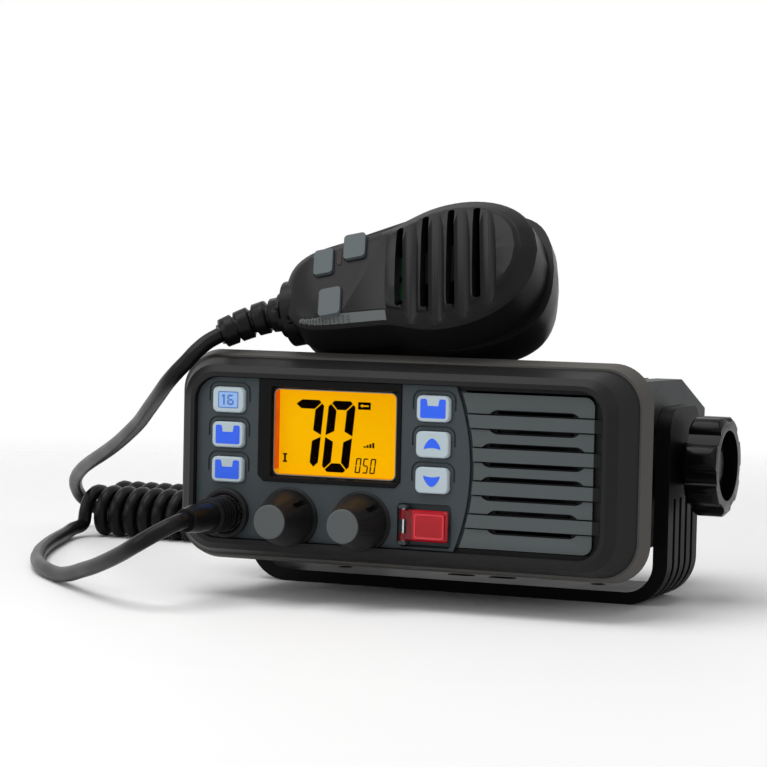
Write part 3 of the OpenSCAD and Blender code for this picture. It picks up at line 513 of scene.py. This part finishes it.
def as_mesh(name, drawn):
    """The plain mesh that an object comes to. The object itself goes."""
    bpy.context.view_layer.update()
    result = drawn.evaluated_get(bpy.context.evaluated_depsgraph_get())
    mesh = bpy.data.meshes.new_from_object(result)
    mesh.name = name
    bpy.data.objects.remove(drawn)
    return mesh


def grow(name, tree, points, edges=(), **sizes):
    """One plain piece, grown from points given in metres."""
    seed = bpy.data.meshes.new(name + "_seed")
    seed.from_pydata([tuple(p) for p in points], list(edges), [])
    start = linked(name + "_seed", seed)
    growth = start.modifiers.new("growth", "NODES")
    growth.node_group = tree
    for item in tree.interface.items_tree:
        if item.in_out == "INPUT" and item.name in sizes:
            growth[item.identifier] = float(sizes[item.name])
    return linked(name, as_mesh(name, start))


def chain(points):
    return [(i, i + 1) for i in range(len(points) - 1)]


print("Growth and grow are ready")


# %% A tree that gives a line its thickness
def tube_tree(name, material, sides):
    """One smooth tube along a line."""
    tree = Growth(name, "Radius")
    tube = tree.tube(tree.line(), sides, tree.given["Radius"])
    smooth = tree.node("GeometryNodeSetShadeSmooth", inputs={"Geometry": tube})
    tree.finish(smooth, material)
    return tree.tree


print("tube tree ready")

# %% [markdown]
# ## The cord
# The real cord is one soft rubber lead. It leaves the plug, drops to the table
# and runs back to a coil of nearly forty curls, which lies in two rows behind the
# radio. From there it climbs past the bezel's corner to the microphone. Its line
# is the one that the CAD tubes follow, and one tree gives the whole line its
# thickness, so that the curls pass into the leads without a seam.

# %% Sizes and routes of the cord, in millimetres
CORD_D, CURL_R, CURL_PITCH, ROW_CURLS = 5.2, 7.4, 6.0, 19
ROW_X, ROW_Y, ROW_GAP, FOLD_CURLS = -187, 79, 22, 1.25
BACK_CURLS = ROW_CURLS + 0.5
FOLD_R = ROW_GAP / 2
LOOSE, TIGHTENING = 1.4, 0.6             # the first curls are a little looser
ROW_LEN = ROW_CURLS * CURL_PITCH + LOOSE
CURL_Z = CURL_R + CORD_D / 2
PLUG_ROUTE = [
    (-58.5, -101, 27.8), (-58.6, -106.4, 27.5), (-61.6, -112, 25.3),
    (-68.6, -114.2, 20.9), (-79, -107.6, 16), (-93, -95.5, 10.8),
    (-104.5, -84, 7.4), (-114, -74.5, 4.7), (-124, -64.5, 2.9),
    (-134.5, -53.5, 2.7), (-143.5, -42, 2.7), (-154, -25, 2.7), (-165, -3, 2.7),
    (-174, 19, 2.7), (-181, 39, 2.7), (-186, 54, 2.7), (-188, 63, 3.6),
]
MIC_ROUTE = [
    (-66.82, -61.47, 85.28), (-69.6, -64.7, 83), (-71.8, -68.2, 80),
    (-74.2, -70.3, 76.6), (-77.9, -70.5, 72.9), (-83, -67, 69),
    (-90.4, -58.5, 64.3), (-100.5, -45.5, 58.8), (-112.5, -29, 53),
    (-126, -11.5, 47.4), (-140.5, 7.5, 42), (-156.5, 28, 36.6),
    (-172, 47.5, 31.6), (-185.5, 65.5, 27), (-197, 82, 22),
    (-203.6, 94, 17.2), (-205.2, 102, 12.2), (-201.5, 107.5, 7.6),
    (-194.5, 108.5, 4.2),
]
print(len(PLUG_ROUTE), "and", len(MIC_ROUTE), "points chosen by hand")


# %% The line of the curls
def along_rows(turns):
    """How far along its two rows the cord has come after that many curls."""
    if turns < ROW_CURLS:
        loose = LOOSE * (1 - TIGHTENING ** turns) / (1 - TIGHTENING ** ROW_CURLS)
        return CURL_PITCH * turns + loose
    if turns < ROW_CURLS + FOLD_CURLS:
        return ROW_LEN + (turns - ROW_CURLS) / FOLD_CURLS * math.pi * FOLD_R
    beyond = turns - ROW_CURLS - FOLD_CURLS
    return ROW_LEN + math.pi * FOLD_R + beyond * CURL_PITCH


def curl_point(turns):
    """The point that the cord has reached after that many curls."""
    run = along_rows(turns)
    turn = min(max((run - ROW_LEN) / FOLD_R, 0), math.pi)
    behind = max(run - ROW_LEN - math.pi * FOLD_R, 0)
    wind = math.pi - 2 * math.pi * turns
    middle = Vector((
        ROW_X + min(run, ROW_LEN) + FOLD_R * math.sin(turn) - behind,
        ROW_Y + FOLD_R * (1 - math.cos(turn)),
        CURL_Z,
    ))
    return middle + CURL_R * Vector((
        -math.cos(wind) * math.sin(turn), math.cos(wind) * math.cos(turn), math.sin(wind)
    ))


ALL_CURLS = ROW_CURLS + FOLD_CURLS + BACK_CURLS
RINGS_PER_CURL = 20
curls = [
    curl_point(i / RINGS_PER_CURL)
    for i in range(round(ALL_CURLS * RINGS_PER_CURL) + 1)
]
start_way = (curls[1] - curls[0]).normalized()
end_way = (curls[-1] - curls[-2]).normalized()
print(ALL_CURLS, "curls in", len(curls), "rings")


# %% One smooth line through leads and curls
LINE_STEPS = 8                           # from one given point to the next


def smooth_line(points, steps=LINE_STEPS):
    """A smooth curve through all the points."""
    p = [Vector(q) for q in points]
    p = [2 * p[0] - p[1], *p, 2 * p[-1] - p[-2]]
    line = []
    for a, b, c, d in zip(p, p[1:], p[2:], p[3:]):
        for k in range(steps):
            t = k / steps
            line.append(0.5 * (
                2 * b + (c - a) * t + (2 * a - 5 * b + 4 * c - d) * t * t
                + (3 * b - a - 3 * c + d) * t ** 3
            ))
    return line + [p[-2]]


def run_length(line):
    """How long a line is, in mm."""
    return sum((b - a).length for a, b in zip(line, line[1:]))


plug_lead = smooth_line([*PLUG_ROUTE, curls[0] - CORD_D * start_way, curls[0]])
mic_lead = smooth_line([*MIC_ROUTE, curls[-1] + CORD_D * end_way, curls[-1]])
cord_line = plug_lead[:-1] + curls + mic_lead[-2::-1]
for point in cord_line:
    point.z = max(point.z, CORD_D / 2)      # the cord lies on the floor, never in it
print("cord", round(run_length(cord_line) * MM, 3), "m,", len(cord_line), "rings")


# %% [markdown]
# The curls stay on the floor when the radio tilts, and the microphone's end goes
# with the microphone. So the cord is two lengths that meet on the tilt axis,
# where the radio's tilt moves nothing: one runs from the bracket to the radio's
# plug, and the other from the radio to the microphone.

# %% The cord's two lengths
CORD_SIDES = 16
leads_up = len(plug_lead) + len(curls)
meeting = next(i for i, point in enumerate(cord_line) if i > leads_up and point.y < 0)
lower, upper = cord_line[:meeting + 1], cord_line[meeting:]
tube = tube_tree("cord", FINISHES["cord_rubber"], CORD_SIDES)


def cord_piece(line, name, replaced):
    """One length of the cord, grown along its line in place of CAD solids."""
    piece = grow(name, tube, [point * MM for point in line], chain(line),
                 Radius=CORD_D / 2 * MM)
    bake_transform(piece)
    for node in replaced:
        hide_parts(node)
    return piece


cord = cord_piece(lower, "curly_cord",
                  ("cord_curls", "cord_plug_lead"))
mic_cord = cord_piece(upper, "microphone_cord",
                      ("cord_mic_lead",))
print(len(cord.data.polygons), "and", len(mic_cord.data.polygons), "faces on the cord")

# %% Each length's first point, run length and points, worked out
for piece, line, lay, on_it in (
    (cord, lower, "coiled", [nodes["mic_plug"]]),
    (mic_cord, upper, "loose", []),
):
    tuple(line[0] * MM)
    round(run_length(line) * MM, 3)
    [tuple(point * MM) for point in line]

# %% [markdown]
# ## Printed shapes
# Icons on keys and figures in a display are flat shapes of one thickness. A flat
# curve fills itself, holes too, so an outline is all that has to be written. The
# curve becomes a mesh first, and then goes to its place.


# %% A thin flat shape at its place
def flat_shape(name, outlines, place, thickness=0.06):
    """A thin solid from flat outlines in mm. place turns a point of it into metres."""
    curve = bpy.data.curves.new(name, "CURVE")
    curve.dimensions, curve.fill_mode, curve.extrude = "2D", "BOTH", thickness / 2
    for outline in outlines:
        spline = curve.splines.new("POLY")
        spline.points.add(len(outline) - 1)
        for point, (x, y) in zip(spline.points, outline):
            point.co = (x, y, 0, 1)
        spline.use_cyclic_u = True
    mesh = as_mesh(name, linked(name + "_curve", curve))
    for vertex in mesh.vertices:
        vertex.co = place(*vertex.co)
    return mesh


def facing(x, y, z):
    """A place on the panel: shapes face out of it, at the depth y."""
    return lambda u, v, w: on_panel(x + u, y - w, z + v)


def put(name, meshes, body, finish):
    """One piece from several small meshes."""
    work = bmesh.new()
    for mesh in meshes:
        work.from_mesh(mesh)
    mesh = bpy.data.meshes.new(name)
    work.to_mesh(mesh)
    work.free()
    mesh.materials.append(finish)
    return settle(linked(name, mesh), body)


print("flat shapes ready")


# %% Outlines with round corners
def rounded(x0, x1, y0, y1, r, steps=5):
    """The outline of a rectangle with round corners."""
    corners = [(x1 - r, y1 - r, 0), (x0 + r, y1 - r, 90), (x0 + r, y0 + r, 180),
               (x1 - r, y0 + r, 270)]
    return [
        (x + r * math.cos(math.radians(a + 90 * k / steps)),
         y + r * math.sin(math.radians(a + 90 * k / steps)))
        for x, y, a in corners for k in range(steps + 1)
    ]


def inset(sides, gap, r):
    """The same, a gap inside the four sides of a rectangle."""
    x0, x1, y0, y1 = sides
    return rounded(x0 + gap, x1 - gap, y0 + gap, y1 - gap, r)


print(len(rounded(0, 10, 0, 10, 1)), "points in an outline")

# %% [markdown]
# ## The housing
# Bezel, gasket and case are three mouldings one behind the other: a black frame,
# a soft grey seal that squeezes against the bulkhead, and a finned case. Their
# edges are rounded by about a third of a millimetre, more on the soft seal.

# %% Bezel, gasket, case and the sockets at the back
dress("bezel", 0.3, crease=14)
dress("gasket", 0.6, crease=24)
dress("chassis", 0.35, crease=12)
dress_all({
    "power_socket": 0.3, "data_socket": 0.3, "antenna_socket": 0.15,
    "housing_screws": 0.12, "tilt_washers": 0.2, "front_board": 0.1,
    "main_board": 0.1, "thread_inserts": 0.1, "key_mat": 0.1,
})
print("housing dressed")

# %% [markdown]
# ## The panel
# The panel is a matt slate moulding with a raised black surround for the
# display. Grooves over each key read as dark eyebrows in the photograph, and the
# speaker's bars run on over the panel's border to the bezel. The plug keeps its
# own solid, because it is named as the cord's, and only gets a finish.

# %% Panel, grille, speaker and plug
dress("front_panel", 0.12)
dress("speaker_grille", 0.18, "grille")
dress_all({
    "lcd_surround": 0.12, "lcd_glass": 0.05, "lcd_light_frame": 0.05,
    "lcd_display": 0.05, "speaker_frame": 0.1, "speaker_cone": 0.1,
    "speaker_magnet": 0.1, "mic_socket": 0.15, "plug_boot": 0.2,
})
plug_finishes = nodes["mic_plug"].data.materials
plug_finishes.clear()
plug_finishes.append(FINISHES[slot_of["mic_plug"]])
print("panel dressed")

# %% [markdown]
# Keys, knobs and the guarded key are the pieces that a finger meets, so their
# edges are among the roundest on the panel.

# %% Keys, knobs and the guarded key
dress_all(dict.fromkeys(("key_left_top", "key_left_middle", "key_left_low",
                         "key_right_top", "key_up", "key_down"), 0.3))
for side in ("squelch", "volume"):
    dress(side + "_knob", 0.25, "knob")
    dress(side + "_shaft", 0.1)
dress_all({
    "knob_collars": 0.12, "control_pots": 0.1, "distress_cover": 0.15,
    "distress_pin": 0.08, "distress_button": 0.2,
})
print("controls dressed")

# %% [markdown]
# The bracket is thick strip, bent and coated, and the clamp knobs are coarse
# mouldings for a wet hand. Their edges are rounded the most.

# %% Bracket and its clamp knobs
dress("bracket", 0.5)
for side in ("left", "right"):
    dress(side + "_clamp_knob", 0.7)
    dress(side + "_clamp_stud", 0.2)
print("bracket dressed")

# %% [markdown]
# ## The microphone
# Two shells close round a board and a capsule, with a talk bar at the side and
# three keys in the face. The shells are smooth black plastic with soft edges.

# %% Microphone
dress_all({
    "mic_front_shell": 0.3, "mic_back_shell": 0.4, "mic_ptt": 0.4,
    "mic_key_upper": 0.35, "mic_key_inner": 0.35, "mic_key_lower": 0.35,
    "mic_lens": 0.1, "mic_board": 0.1, "mic_capsule": 0.2,
    "mic_hanger": 0.3, "mic_screws": 0.15,
})
relief_body = dress("mic_relief", 0)
as_packed = [name for name in nodes if not nodes[name].hide_render]
print("microphone dressed;", as_packed, "keep their mesh")

# %% [markdown]
# The strain relief bends with the cord, so it is four thick soft rings on a
# thinner neck. Its radius is a rule along its line: within each quarter the line
# swells to a ring and falls back. The tree reads how far along it is and sets the
# radius there.

# %% Soft rings of the strain relief
RELIEF_PATH = [(-46.5, -54.7, 92.9), (-52.5, -55.3, 91.6), (-58, -56.4, 89.7),
               (-62.8, -58.4, 87.5), (-66.6, -61.3, 85.4)]
SLOPE, RING_END = 0.07, 0.8              # parts of one quarter of the line
LINE_POINTS, RELIEF_SIDES, RELIEF_CREASE = 220, 28, 50

rings = Growth("relief_rings", "Radius", "Taper", "Rings", "Neck")
sampled = {"Curve": rings.line(), "Count": LINE_POINTS}
line = rings.node("GeometryNodeResampleCurve", inputs=sampled)
along = rings.node("GeometryNodeSplineParameter")
part = rings.maths("FRACT", along * rings.given["Rings"])
swell = rings.held(rings.maths("MINIMUM", part / SLOPE, (RING_END - part) / SLOPE))
neck = rings.given["Neck"]
full = rings.given["Radius"] - along * rings.given["Taper"]
swollen = {"Curve": line, "Radius": full * (neck + (1 - neck) * swell)}
line = rings.node("GeometryNodeSetCurveRadius", inputs=swollen)
rings.finish(rings.tube(line, RELIEF_SIDES, MM), FINISHES["cord_rubber"])

relief_line = smooth_line(RELIEF_PATH)
relief = grow("relief_rings", rings.tree, [p * MM for p in relief_line],
              chain(relief_line), Radius=6.05, Taper=0.6, Rings=4, Neck=0.72)
smooth_shade(relief.data, RELIEF_CREASE)
settle(relief, "microphone")
print(len(relief.data.polygons), "faces on the relief")

# %% [markdown]
# The solid under the rings flares at its last edge. The rings taper to the cord
# there, so on the dressed copy that edge is drawn in.

# %% The relief's last edge
EDGE_DEPTH, EDGE_R = 0.9, 3.4            # mm
last, way = relief_line[-1], (relief_line[-1] - relief_line[-2]).normalized()
for vertex in relief_body.data.vertices:
    off = vertex.co / MM - last
    ahead = off.dot(way) * way
    if off.dot(way) > -EDGE_DEPTH and (off - ahead).length > EDGE_R:
        vertex.co = (last + ahead + (off - ahead).normalized() * EDGE_R) * MM
print("last edge drawn in to", EDGE_R, "mm")

# %% [markdown]
# Below the keys, the chamfer of the front shell carries a paler thumb strip with
# a pattern of small diamonds. Its points lie in rows between the two edges of the
# chamfer, and the tree stands a low four-sided stud on each.

# %% The strip on the microphone's chamfer
MIC_TAIL = [(-60.2, 9.4, 0), (-57, 13, 0), (-52, 15.4, 0), (-44, 16.8, 0), (-34, 17.9, 0),
            (-26, 18.9, 0), (-20, 21.1, 0)]
TAIL_MIDDLE, STRIP_FROM, STRIP_TO = -46, -56.4, -25.8    # mm along the microphone
CHAMFER_IN, CHAMFER_WIDE = 0.8, 3.6      # mm, seen from the front
CHAMFER_FOOT, CHAMFER_HIGH = 12.7, 1.9   # mm above the shells' seam
STRIP_LOW, STRIP_PROUD = 0.06, 0.12


def chamfer(edge, across):
    """A place on the chamfer, 0 at its outer edge and 1 at its inner edge."""
    middle = Vector((min(max(edge.x, TAIL_MIDDLE), 0), 0, 0))
    drawn = edge + (middle - edge).normalized() * (CHAMFER_IN + CHAMFER_WIDE * across)
    return on_mic(drawn.x, -drawn.y, CHAMFER_FOOT + CHAMFER_HIGH * across)


strip_edge = [q for q in smooth_line(MIC_TAIL, 6) if STRIP_FROM < q.x < STRIP_TO]
count = len(strip_edge)
# narrow at its tip, the strip soon takes up most of the chamfer
widths = [min(0.3 + 1.2 * i / count, 0.88) for i in range(count)]
outward = on_mic(0, -0.5, 0.9) - on_mic(0, 0, 0)
low = [chamfer(q, STRIP_LOW) + STRIP_PROUD * outward for q in strip_edge]
high = [chamfer(q, wide) + STRIP_PROUD * outward for q, wide in zip(strip_edge, widths)]
base = bpy.data.meshes.new("thumb_strip")
base.from_pydata([tuple(v) for v in low + high], [],
                 [(i, i + 1, count + i + 1, count + i) for i in range(count - 1)])
print("strip of", len(base.polygons), "faces")

# %% Studs on the strip
STUD_ROWS, STUD_SPACES, STUDS_TO, STUD_SUNK = 3, 3.6, -38, 0.1
pale = moulded("thumb_strip", seen(98, 101, 101), 0.6, 0.4, 0.02, 0.08, **DULL)
studs = Growth("thumb_studs", "Width", "Height")
stud = studs.node("GeometryNodeMeshCone", inputs={
    "Vertices": 4, "Radius Top": 0.0, "Radius Bottom": studs.given["Width"],
    "Depth": studs.given["Height"]})
stood = studs.node("GeometryNodeInstanceOnPoints", inputs={
    "Points": studs.given["Geometry"], "Instance": stud,
    "Rotation": outward.to_track_quat("Z", "X").to_euler()})
studs.finish(stood, pale)
spots = [
    a.lerp(b, (row + 0.5 + 0.5 * (i % 2)) / STUD_SPACES) + STUD_SUNK * outward
    for i, (a, b) in enumerate(zip(low, high)) for row in range(STUD_ROWS)
    if strip_edge[i].x < STUDS_TO
]
grown = grow("studs", studs.tree, spots, Width=0.62 * MM, Height=0.5 * MM)
put("thumb_strip", [base, grown.data], "microphone", pale)
bpy.data.objects.remove(grown)           # its mesh is in the strip now
print(len(spots), "studs on the thumb strip")

# %% [markdown]
# ## Figures in the display
# A figure is made of up to seven bars, with mitred ends and a lean of about six
# degrees. Each bar is written once, from the figure's size and the thickness of a
# bar, so the small figures use the same outlines as the large ones.


# %% Bars of the figures
def figure(shown, x, z, w, h, b, lean=0.1):
    """Outlines of the bars that are on, for a figure with its foot at (x, z).

    w and h are the figure's size and b is the thickness of a bar. g is the gap
    between two bars, and c is how far a corner is cut.
    """
    middle, g, c = h / 2, b * 0.1, b * 0.55
    bars = {
        "top": [(c + g, h), (w - c - g, h), (w - c / 2 - g, h - c / 2),
                (w - b - g, h - b), (b + g, h - b), (c / 2 + g, h - c / 2)],
        "bottom": [(b + g, b), (w - b - g, b), (w - c / 2 - g, c / 2), (w - c - g, 0),
                   (c + g, 0), (c / 2 + g, c / 2)],
        "middle": [(b / 2 + g, middle), (b + g, middle + b / 2),
                   (w - b - g, middle + b / 2), (w - b / 2 - g, middle),
                   (w - b - g, middle - b / 2), (b + g, middle - b / 2)],
        "upper_left": [(0, h - c - g), (c / 2, h - c / 2 - g), (b, h - b - g),
                       (b, middle + b / 2 + g), (0, middle + g)],
        "upper_right": [(w, h - c - g), (w, middle + g), (w - b, middle + b / 2 + g),
                        (w - b, h - b - g), (w - c / 2, h - c / 2 - g)],
        "lower_left": [(0, middle - g), (b, middle - b / 2 - g), (b, b + g),
                       (c / 2, c / 2 + g), (0, c + g)],
        "lower_right": [(w, middle - g), (w, c + g), (w - c / 2, c / 2 + g),
                        (w - b, b + g), (w - b, middle - b / 2 - g)],
        "seven_top": [(0.35 * b, h - b / 2), (b, h), (w - c - g, h),
                      (w - c / 2 - g, h - c / 2), (w - b - g, h - b), (b, h - b)],
        "seven_foot": [(w, middle - g), (w, b), (w - b / 2, b / 2), (w - b, b),
                       (w - b, middle - b / 2 - g)],
    }
    return [[(x + u + lean * v, z + v) for u, v in bars[name]] for name in shown]


SEVEN = ("seven_top", "upper_right", "seven_foot")
ZERO = ("top", "bottom", "upper_left", "upper_right", "lower_left", "lower_right")
FIVE = ("top", "upper_left", "middle", "lower_right", "bottom")
SIX = ("top", "upper_left", "middle", "lower_left", "lower_right", "bottom")
print("a zero has", len(ZERO), "bars")

# %% The display's figures
DISPLAY_FACE = 4.44                      # mm behind the panel's face
BIG = {"z": -3.4, "h": 23.1, "b": 2.9}
SMALL = {"z": -3.3, "w": 1.85, "h": 4.9, "b": 0.42, "lean": 0.12}
SMALL_X, SMALL_STEP, BAR_X = -15.4, 2.55, -12.4

big = figure(SEVEN, x=-39.4, w=10.8, **BIG) + figure(ZERO, x=-27, w=9.4, **BIG)
small = [
    bar for i, shown in enumerate((ZERO, FIVE, ZERO))
    for bar in figure(shown, x=SMALL_X + SMALL_STEP * i, **SMALL)
]
signal_bars = [
    rounded(BAR_X + 1.0 * i, BAR_X + 0.7 + 1.0 * i, 5.0, 5.5 + 0.4 * i, 0.08)
    for i in range(4)
]
upright_mark = [
    rounded(-40.7, -39.2, 1.5, 2.0, 0.1), rounded(-40.7, -39.2, -0.9, -0.4, 0.1),
    rounded(-40.3, -39.6, -0.5, 1.6, 0.1),
]
arrow_in_box = [rounded(-14.6, -10.2, 17.2, 19.6, 0.25),
                [(-13.9, 18.4), (-13.0, 19.1), (-13.0, 18.65), (-10.9, 18.65),
                 (-10.9, 18.15), (-13.0, 18.15), (-13.0, 17.7)]]
single = big + small + signal_bars + upright_mark
ink = moulded("display_ink", seen(10, 3, 0), 0.6, 0.5, 0.0, 0.2, Specular_IOR_Level=0.0)
put("display_figures",
    [flat_shape("figure", outlines, facing(0, DISPLAY_FACE, 0))
     for outlines in [[outline] for outline in single] + [arrow_in_box]],
    "radio", ink)
print(len(single), "outlines in the display")

# %% [markdown]
# The window's opening has round corners, and a fine grey line inside its edge is
# a painted highlight, where the glass edge catches the light. Both are flat rings:
# a ring is two outlines, one inside the other.

# %% Corners of the window and the painted highlight inside them
OPENING = (-42.6, 0.5, -5.0, 23.3)       # its four sides on the panel, in mm
CORNER_FACE, HIGHLIGHT_FACE = 0.82, 0.76      # mm behind the panel's face
corners = [inset(OPENING, -0.15, 0.3), inset(OPENING, 0.3, 1.9)]
put("window_corners", [flat_shape("corners", corners, facing(0, CORNER_FACE, 0), 0.1)],
    "radio", FINISHES["gloss_black"])
# a grey ring, painted as the highlight on the window's glass edge
painted_edge_highlight = [inset(OPENING, 0.15, 2), inset(OPENING, 0.45, 1.7)]
put("window_line", [flat_shape("line", painted_edge_highlight, facing(0, HIGHLIGHT_FACE, 0), 0.08)],
    "radio", moulded("window_line", seen(120, 116, 106), 0.4, 0.3, 0.004))
print("corners and line on the window")

# %% [markdown]
# ## Icons on the keys
# Two keys carry arrows, three carry a plain blue shape like an open book, and one
# carries a frame with a plain number.

# %% Icons of the panel keys
ICON_DEPTH, NUMBER_DEPTH = 0.08, 0.12
KEY_X, KEY_Z, KEY_PITCH, KEY_FACE = (-57.9, 13.5), 18.85, 11.35, -1.5
blue = moulded("icon_blue", seen(30, 94, 240), 0.5, 0.3, 0.002, 0.05)
pale_blue = moulded("icon_pale_blue", seen(146, 184, 236), 0.5, 0.3, 0.002, 0.04)
number_blue = moulded("icon_number_blue", seen(66, 112, 190), 0.5, 0.3, 0.002, 0.05)
book = [
    (-4.3, -2.6), (-3.9, -3), (3.9, -3), (4.3, -2.6), (4.3, 2.7), (3.9, 3.1),
    (2.5, 3.1), (2.1, 2.7), (1.8, 0.9), (-1.8, 0.9), (-2.1, 2.7), (-2.5, 3.1),
    (-3.9, 3.1), (-4.3, 2.7),
]
arrow = [
    (-2.85, -1.5), (-2.7, -0.7), (-2.1, 0.4), (-1.3, 1.35), (-0.6, 1.85), (0, 2),
    (0.6, 1.85), (1.3, 1.35), (2.1, 0.4), (2.7, -0.7), (2.85, -1.5), (1.4, -1.15),
    (0, -1.05), (-1.4, -1.15),
]
icons = {                                # outline, column, row, and which way up
    "key_left_middle": (book, 0, 1, 1),
    "key_left_low": (book, 0, 2, 1),
    "key_right_top": (book, 1, 0, 1),
    "key_up": (arrow, 1, 1, 1),
    "key_down": (arrow, 1, 2, -1),
}
for key, (outline, column, row, up_way) in icons.items():
    turned = [(u * up_way, v * up_way) for u, v in outline]
    spot = facing(KEY_X[column], KEY_FACE, KEY_Z - row * KEY_PITCH)
    put(key + "_icon", [flat_shape(key + "_icon", [turned], spot, ICON_DEPTH)],
        key, blue)
print(len(icons), "icons")

# %% The numbered key
PATCH = (-3.6, 3.6, -2.7, 2.7)           # its four sides on the key, in mm
spot = facing(KEY_X[0], KEY_FACE, KEY_Z)
border = [inset(PATCH, 0, 0.5), inset(PATCH, 0.3, 0.3)]
one = [(-1.9, 1.7), (-1.2, 1.7), (-1.2, -1.7), (-1.8, -1.7), (-1.8, 1), (-2.3, 0.8),
       (-2.3, 1.3)]
six = figure(SIX, x=-0.3, z=-1.7, w=2.3, h=3.4, b=0.62, lean=0)
number = [border] + [[outline] for outline in [one, *six]]
put("key_left_top_patch", [flat_shape("patch", border[:1], spot, ICON_DEPTH)],
    "key_left_top", pale_blue)
put("key_left_top_number",
    [flat_shape("line", outlines, spot, NUMBER_DEPTH) for outlines in number],
    "key_left_top", number_blue)
print("numbered key done")

# %% [markdown]
# The red cover is a moulding with a raised block in its middle and a fine lip
# round the block, and both turn with the cover when it is lifted. The lip is real,
# and its lighter red than the cover is a painted highlight along the raised rim.

# %% Raised block and lip on the red cover, the lip with a painted highlight
BLOCK = (8.3, 18.5, -22.4, -14.4)        # its four sides on the panel, in mm
BLOCK_FACE, LIP_FACE = -2.3, -2.6        # mm behind the panel's face
block = inset(BLOCK, 0, 0.8)
put("cover_block", [flat_shape("block", [block], facing(0, BLOCK_FACE, 0), 0.6)],
    "distress_cover", FINISHES["red_clear"])
lip = [block, inset(BLOCK, 0.6, 0.6)]
# the lip's lighter red is a painted highlight on the real raised rim
lip_highlight_red = moulded("cover_lip", seen(206, 30, 50), 0.25, 0.3, 0.004)
put("cover_lip", [flat_shape("lip", lip, facing(0, LIP_FACE, 0), 0.3)],
    "distress_cover", lip_highlight_red)
print("cover block and lip added")

# %% [markdown]
# ## Light, floor and world
# A large soft lamp above, a weaker one at the front left and a faint one at the
# right keep the light even. The world is white to the camera and in reflections,
# and a soft grey as a light. The floor is pale, and it fades out some way from
# the object, so that the white behind it begins without an edge.


# %% Lamps
def lamp(name, place, aim, size, watts):
    light = bpy.data.lights.new(name, "AREA")
    light.shape, light.size, light.energy = "DISK", size, watts
    made = linked(name, light)
    made.location = place
    towards = Vector(aim) - Vector(place)
    made.rotation_euler = towards.to_track_quat("-Z", "Y").to_euler()


lamp("soft_top", (-0.25, -0.35, 1.2), (0, -0.02, 0.05), 1.1, 11)
lamp("soft_front", (-0.9, -1.0, 0.55), (0, -0.05, 0.06), 0.8, 5)
lamp("soft_right", (1.1, -0.5, 0.6), (0, -0.02, 0.06), 0.7, 1)
print("three lamps")

# %% World
AMBIENT, WHITE = 0.35, (1, 1, 1, 1)
world = bpy.data.worlds.new("studio")
bpy.context.scene.world = world
world.use_nodes = True
sky = Graph(world.node_tree)
camera_ray, glossy_ray, through_ray = (
    sky.node("ShaderNodeLightPath", output=f"Is {kind} Ray")
    for kind in ("Camera", "Glossy", "Transmission")
)
white = sky.node("ShaderNodeBackground", inputs={"Color": WHITE})
soft = sky.node("ShaderNodeBackground", inputs={"Color": WHITE, "Strength": AMBIENT})
looked_at = camera_ray + glossy_ray + through_ray
mix = sky.node("ShaderNodeMixShader", inputs={0: looked_at, 1: soft, 2: white})
sky.end("ShaderNodeOutputWorld", mix)
print("world ready")

# %% Floor
FADE_FROM, FADE_OVER, FLOOR_REACH = 0.22, 0.5, 12        # metres
floor_finish = Finish("floor", 0.6, Specular_IOR_Level=0.2)
sheen = floor_finish.noise(3)
floor_finish.set("Base Color", floor_finish.blend(
    sheen, (0.92, 0.92, 0.92, 1), (0.95, 0.95, 0.95, 1)))
away = floor_finish.node("ShaderNodeVectorMath", {"operation": "LENGTH"},
                         {0: floor_finish.place}, output="Value")
fade = floor_finish.held((away - FADE_FROM) / FADE_OVER)
floor_finish.set("Alpha", 1.0 - fade)

floor_mesh = bpy.data.meshes.new("floor")
floor_mesh.from_pydata(
    [(x * FLOOR_REACH, y * FLOOR_REACH, 0)
     for x, y in ((-1, -1), (1, -1), (1, 1), (-1, 1))],
    [], [(0, 1, 2, 3)],
)
floor_mesh.materials.append(floor_finish.material)
floor = linked("floor", floor_mesh)
print("floor ready")
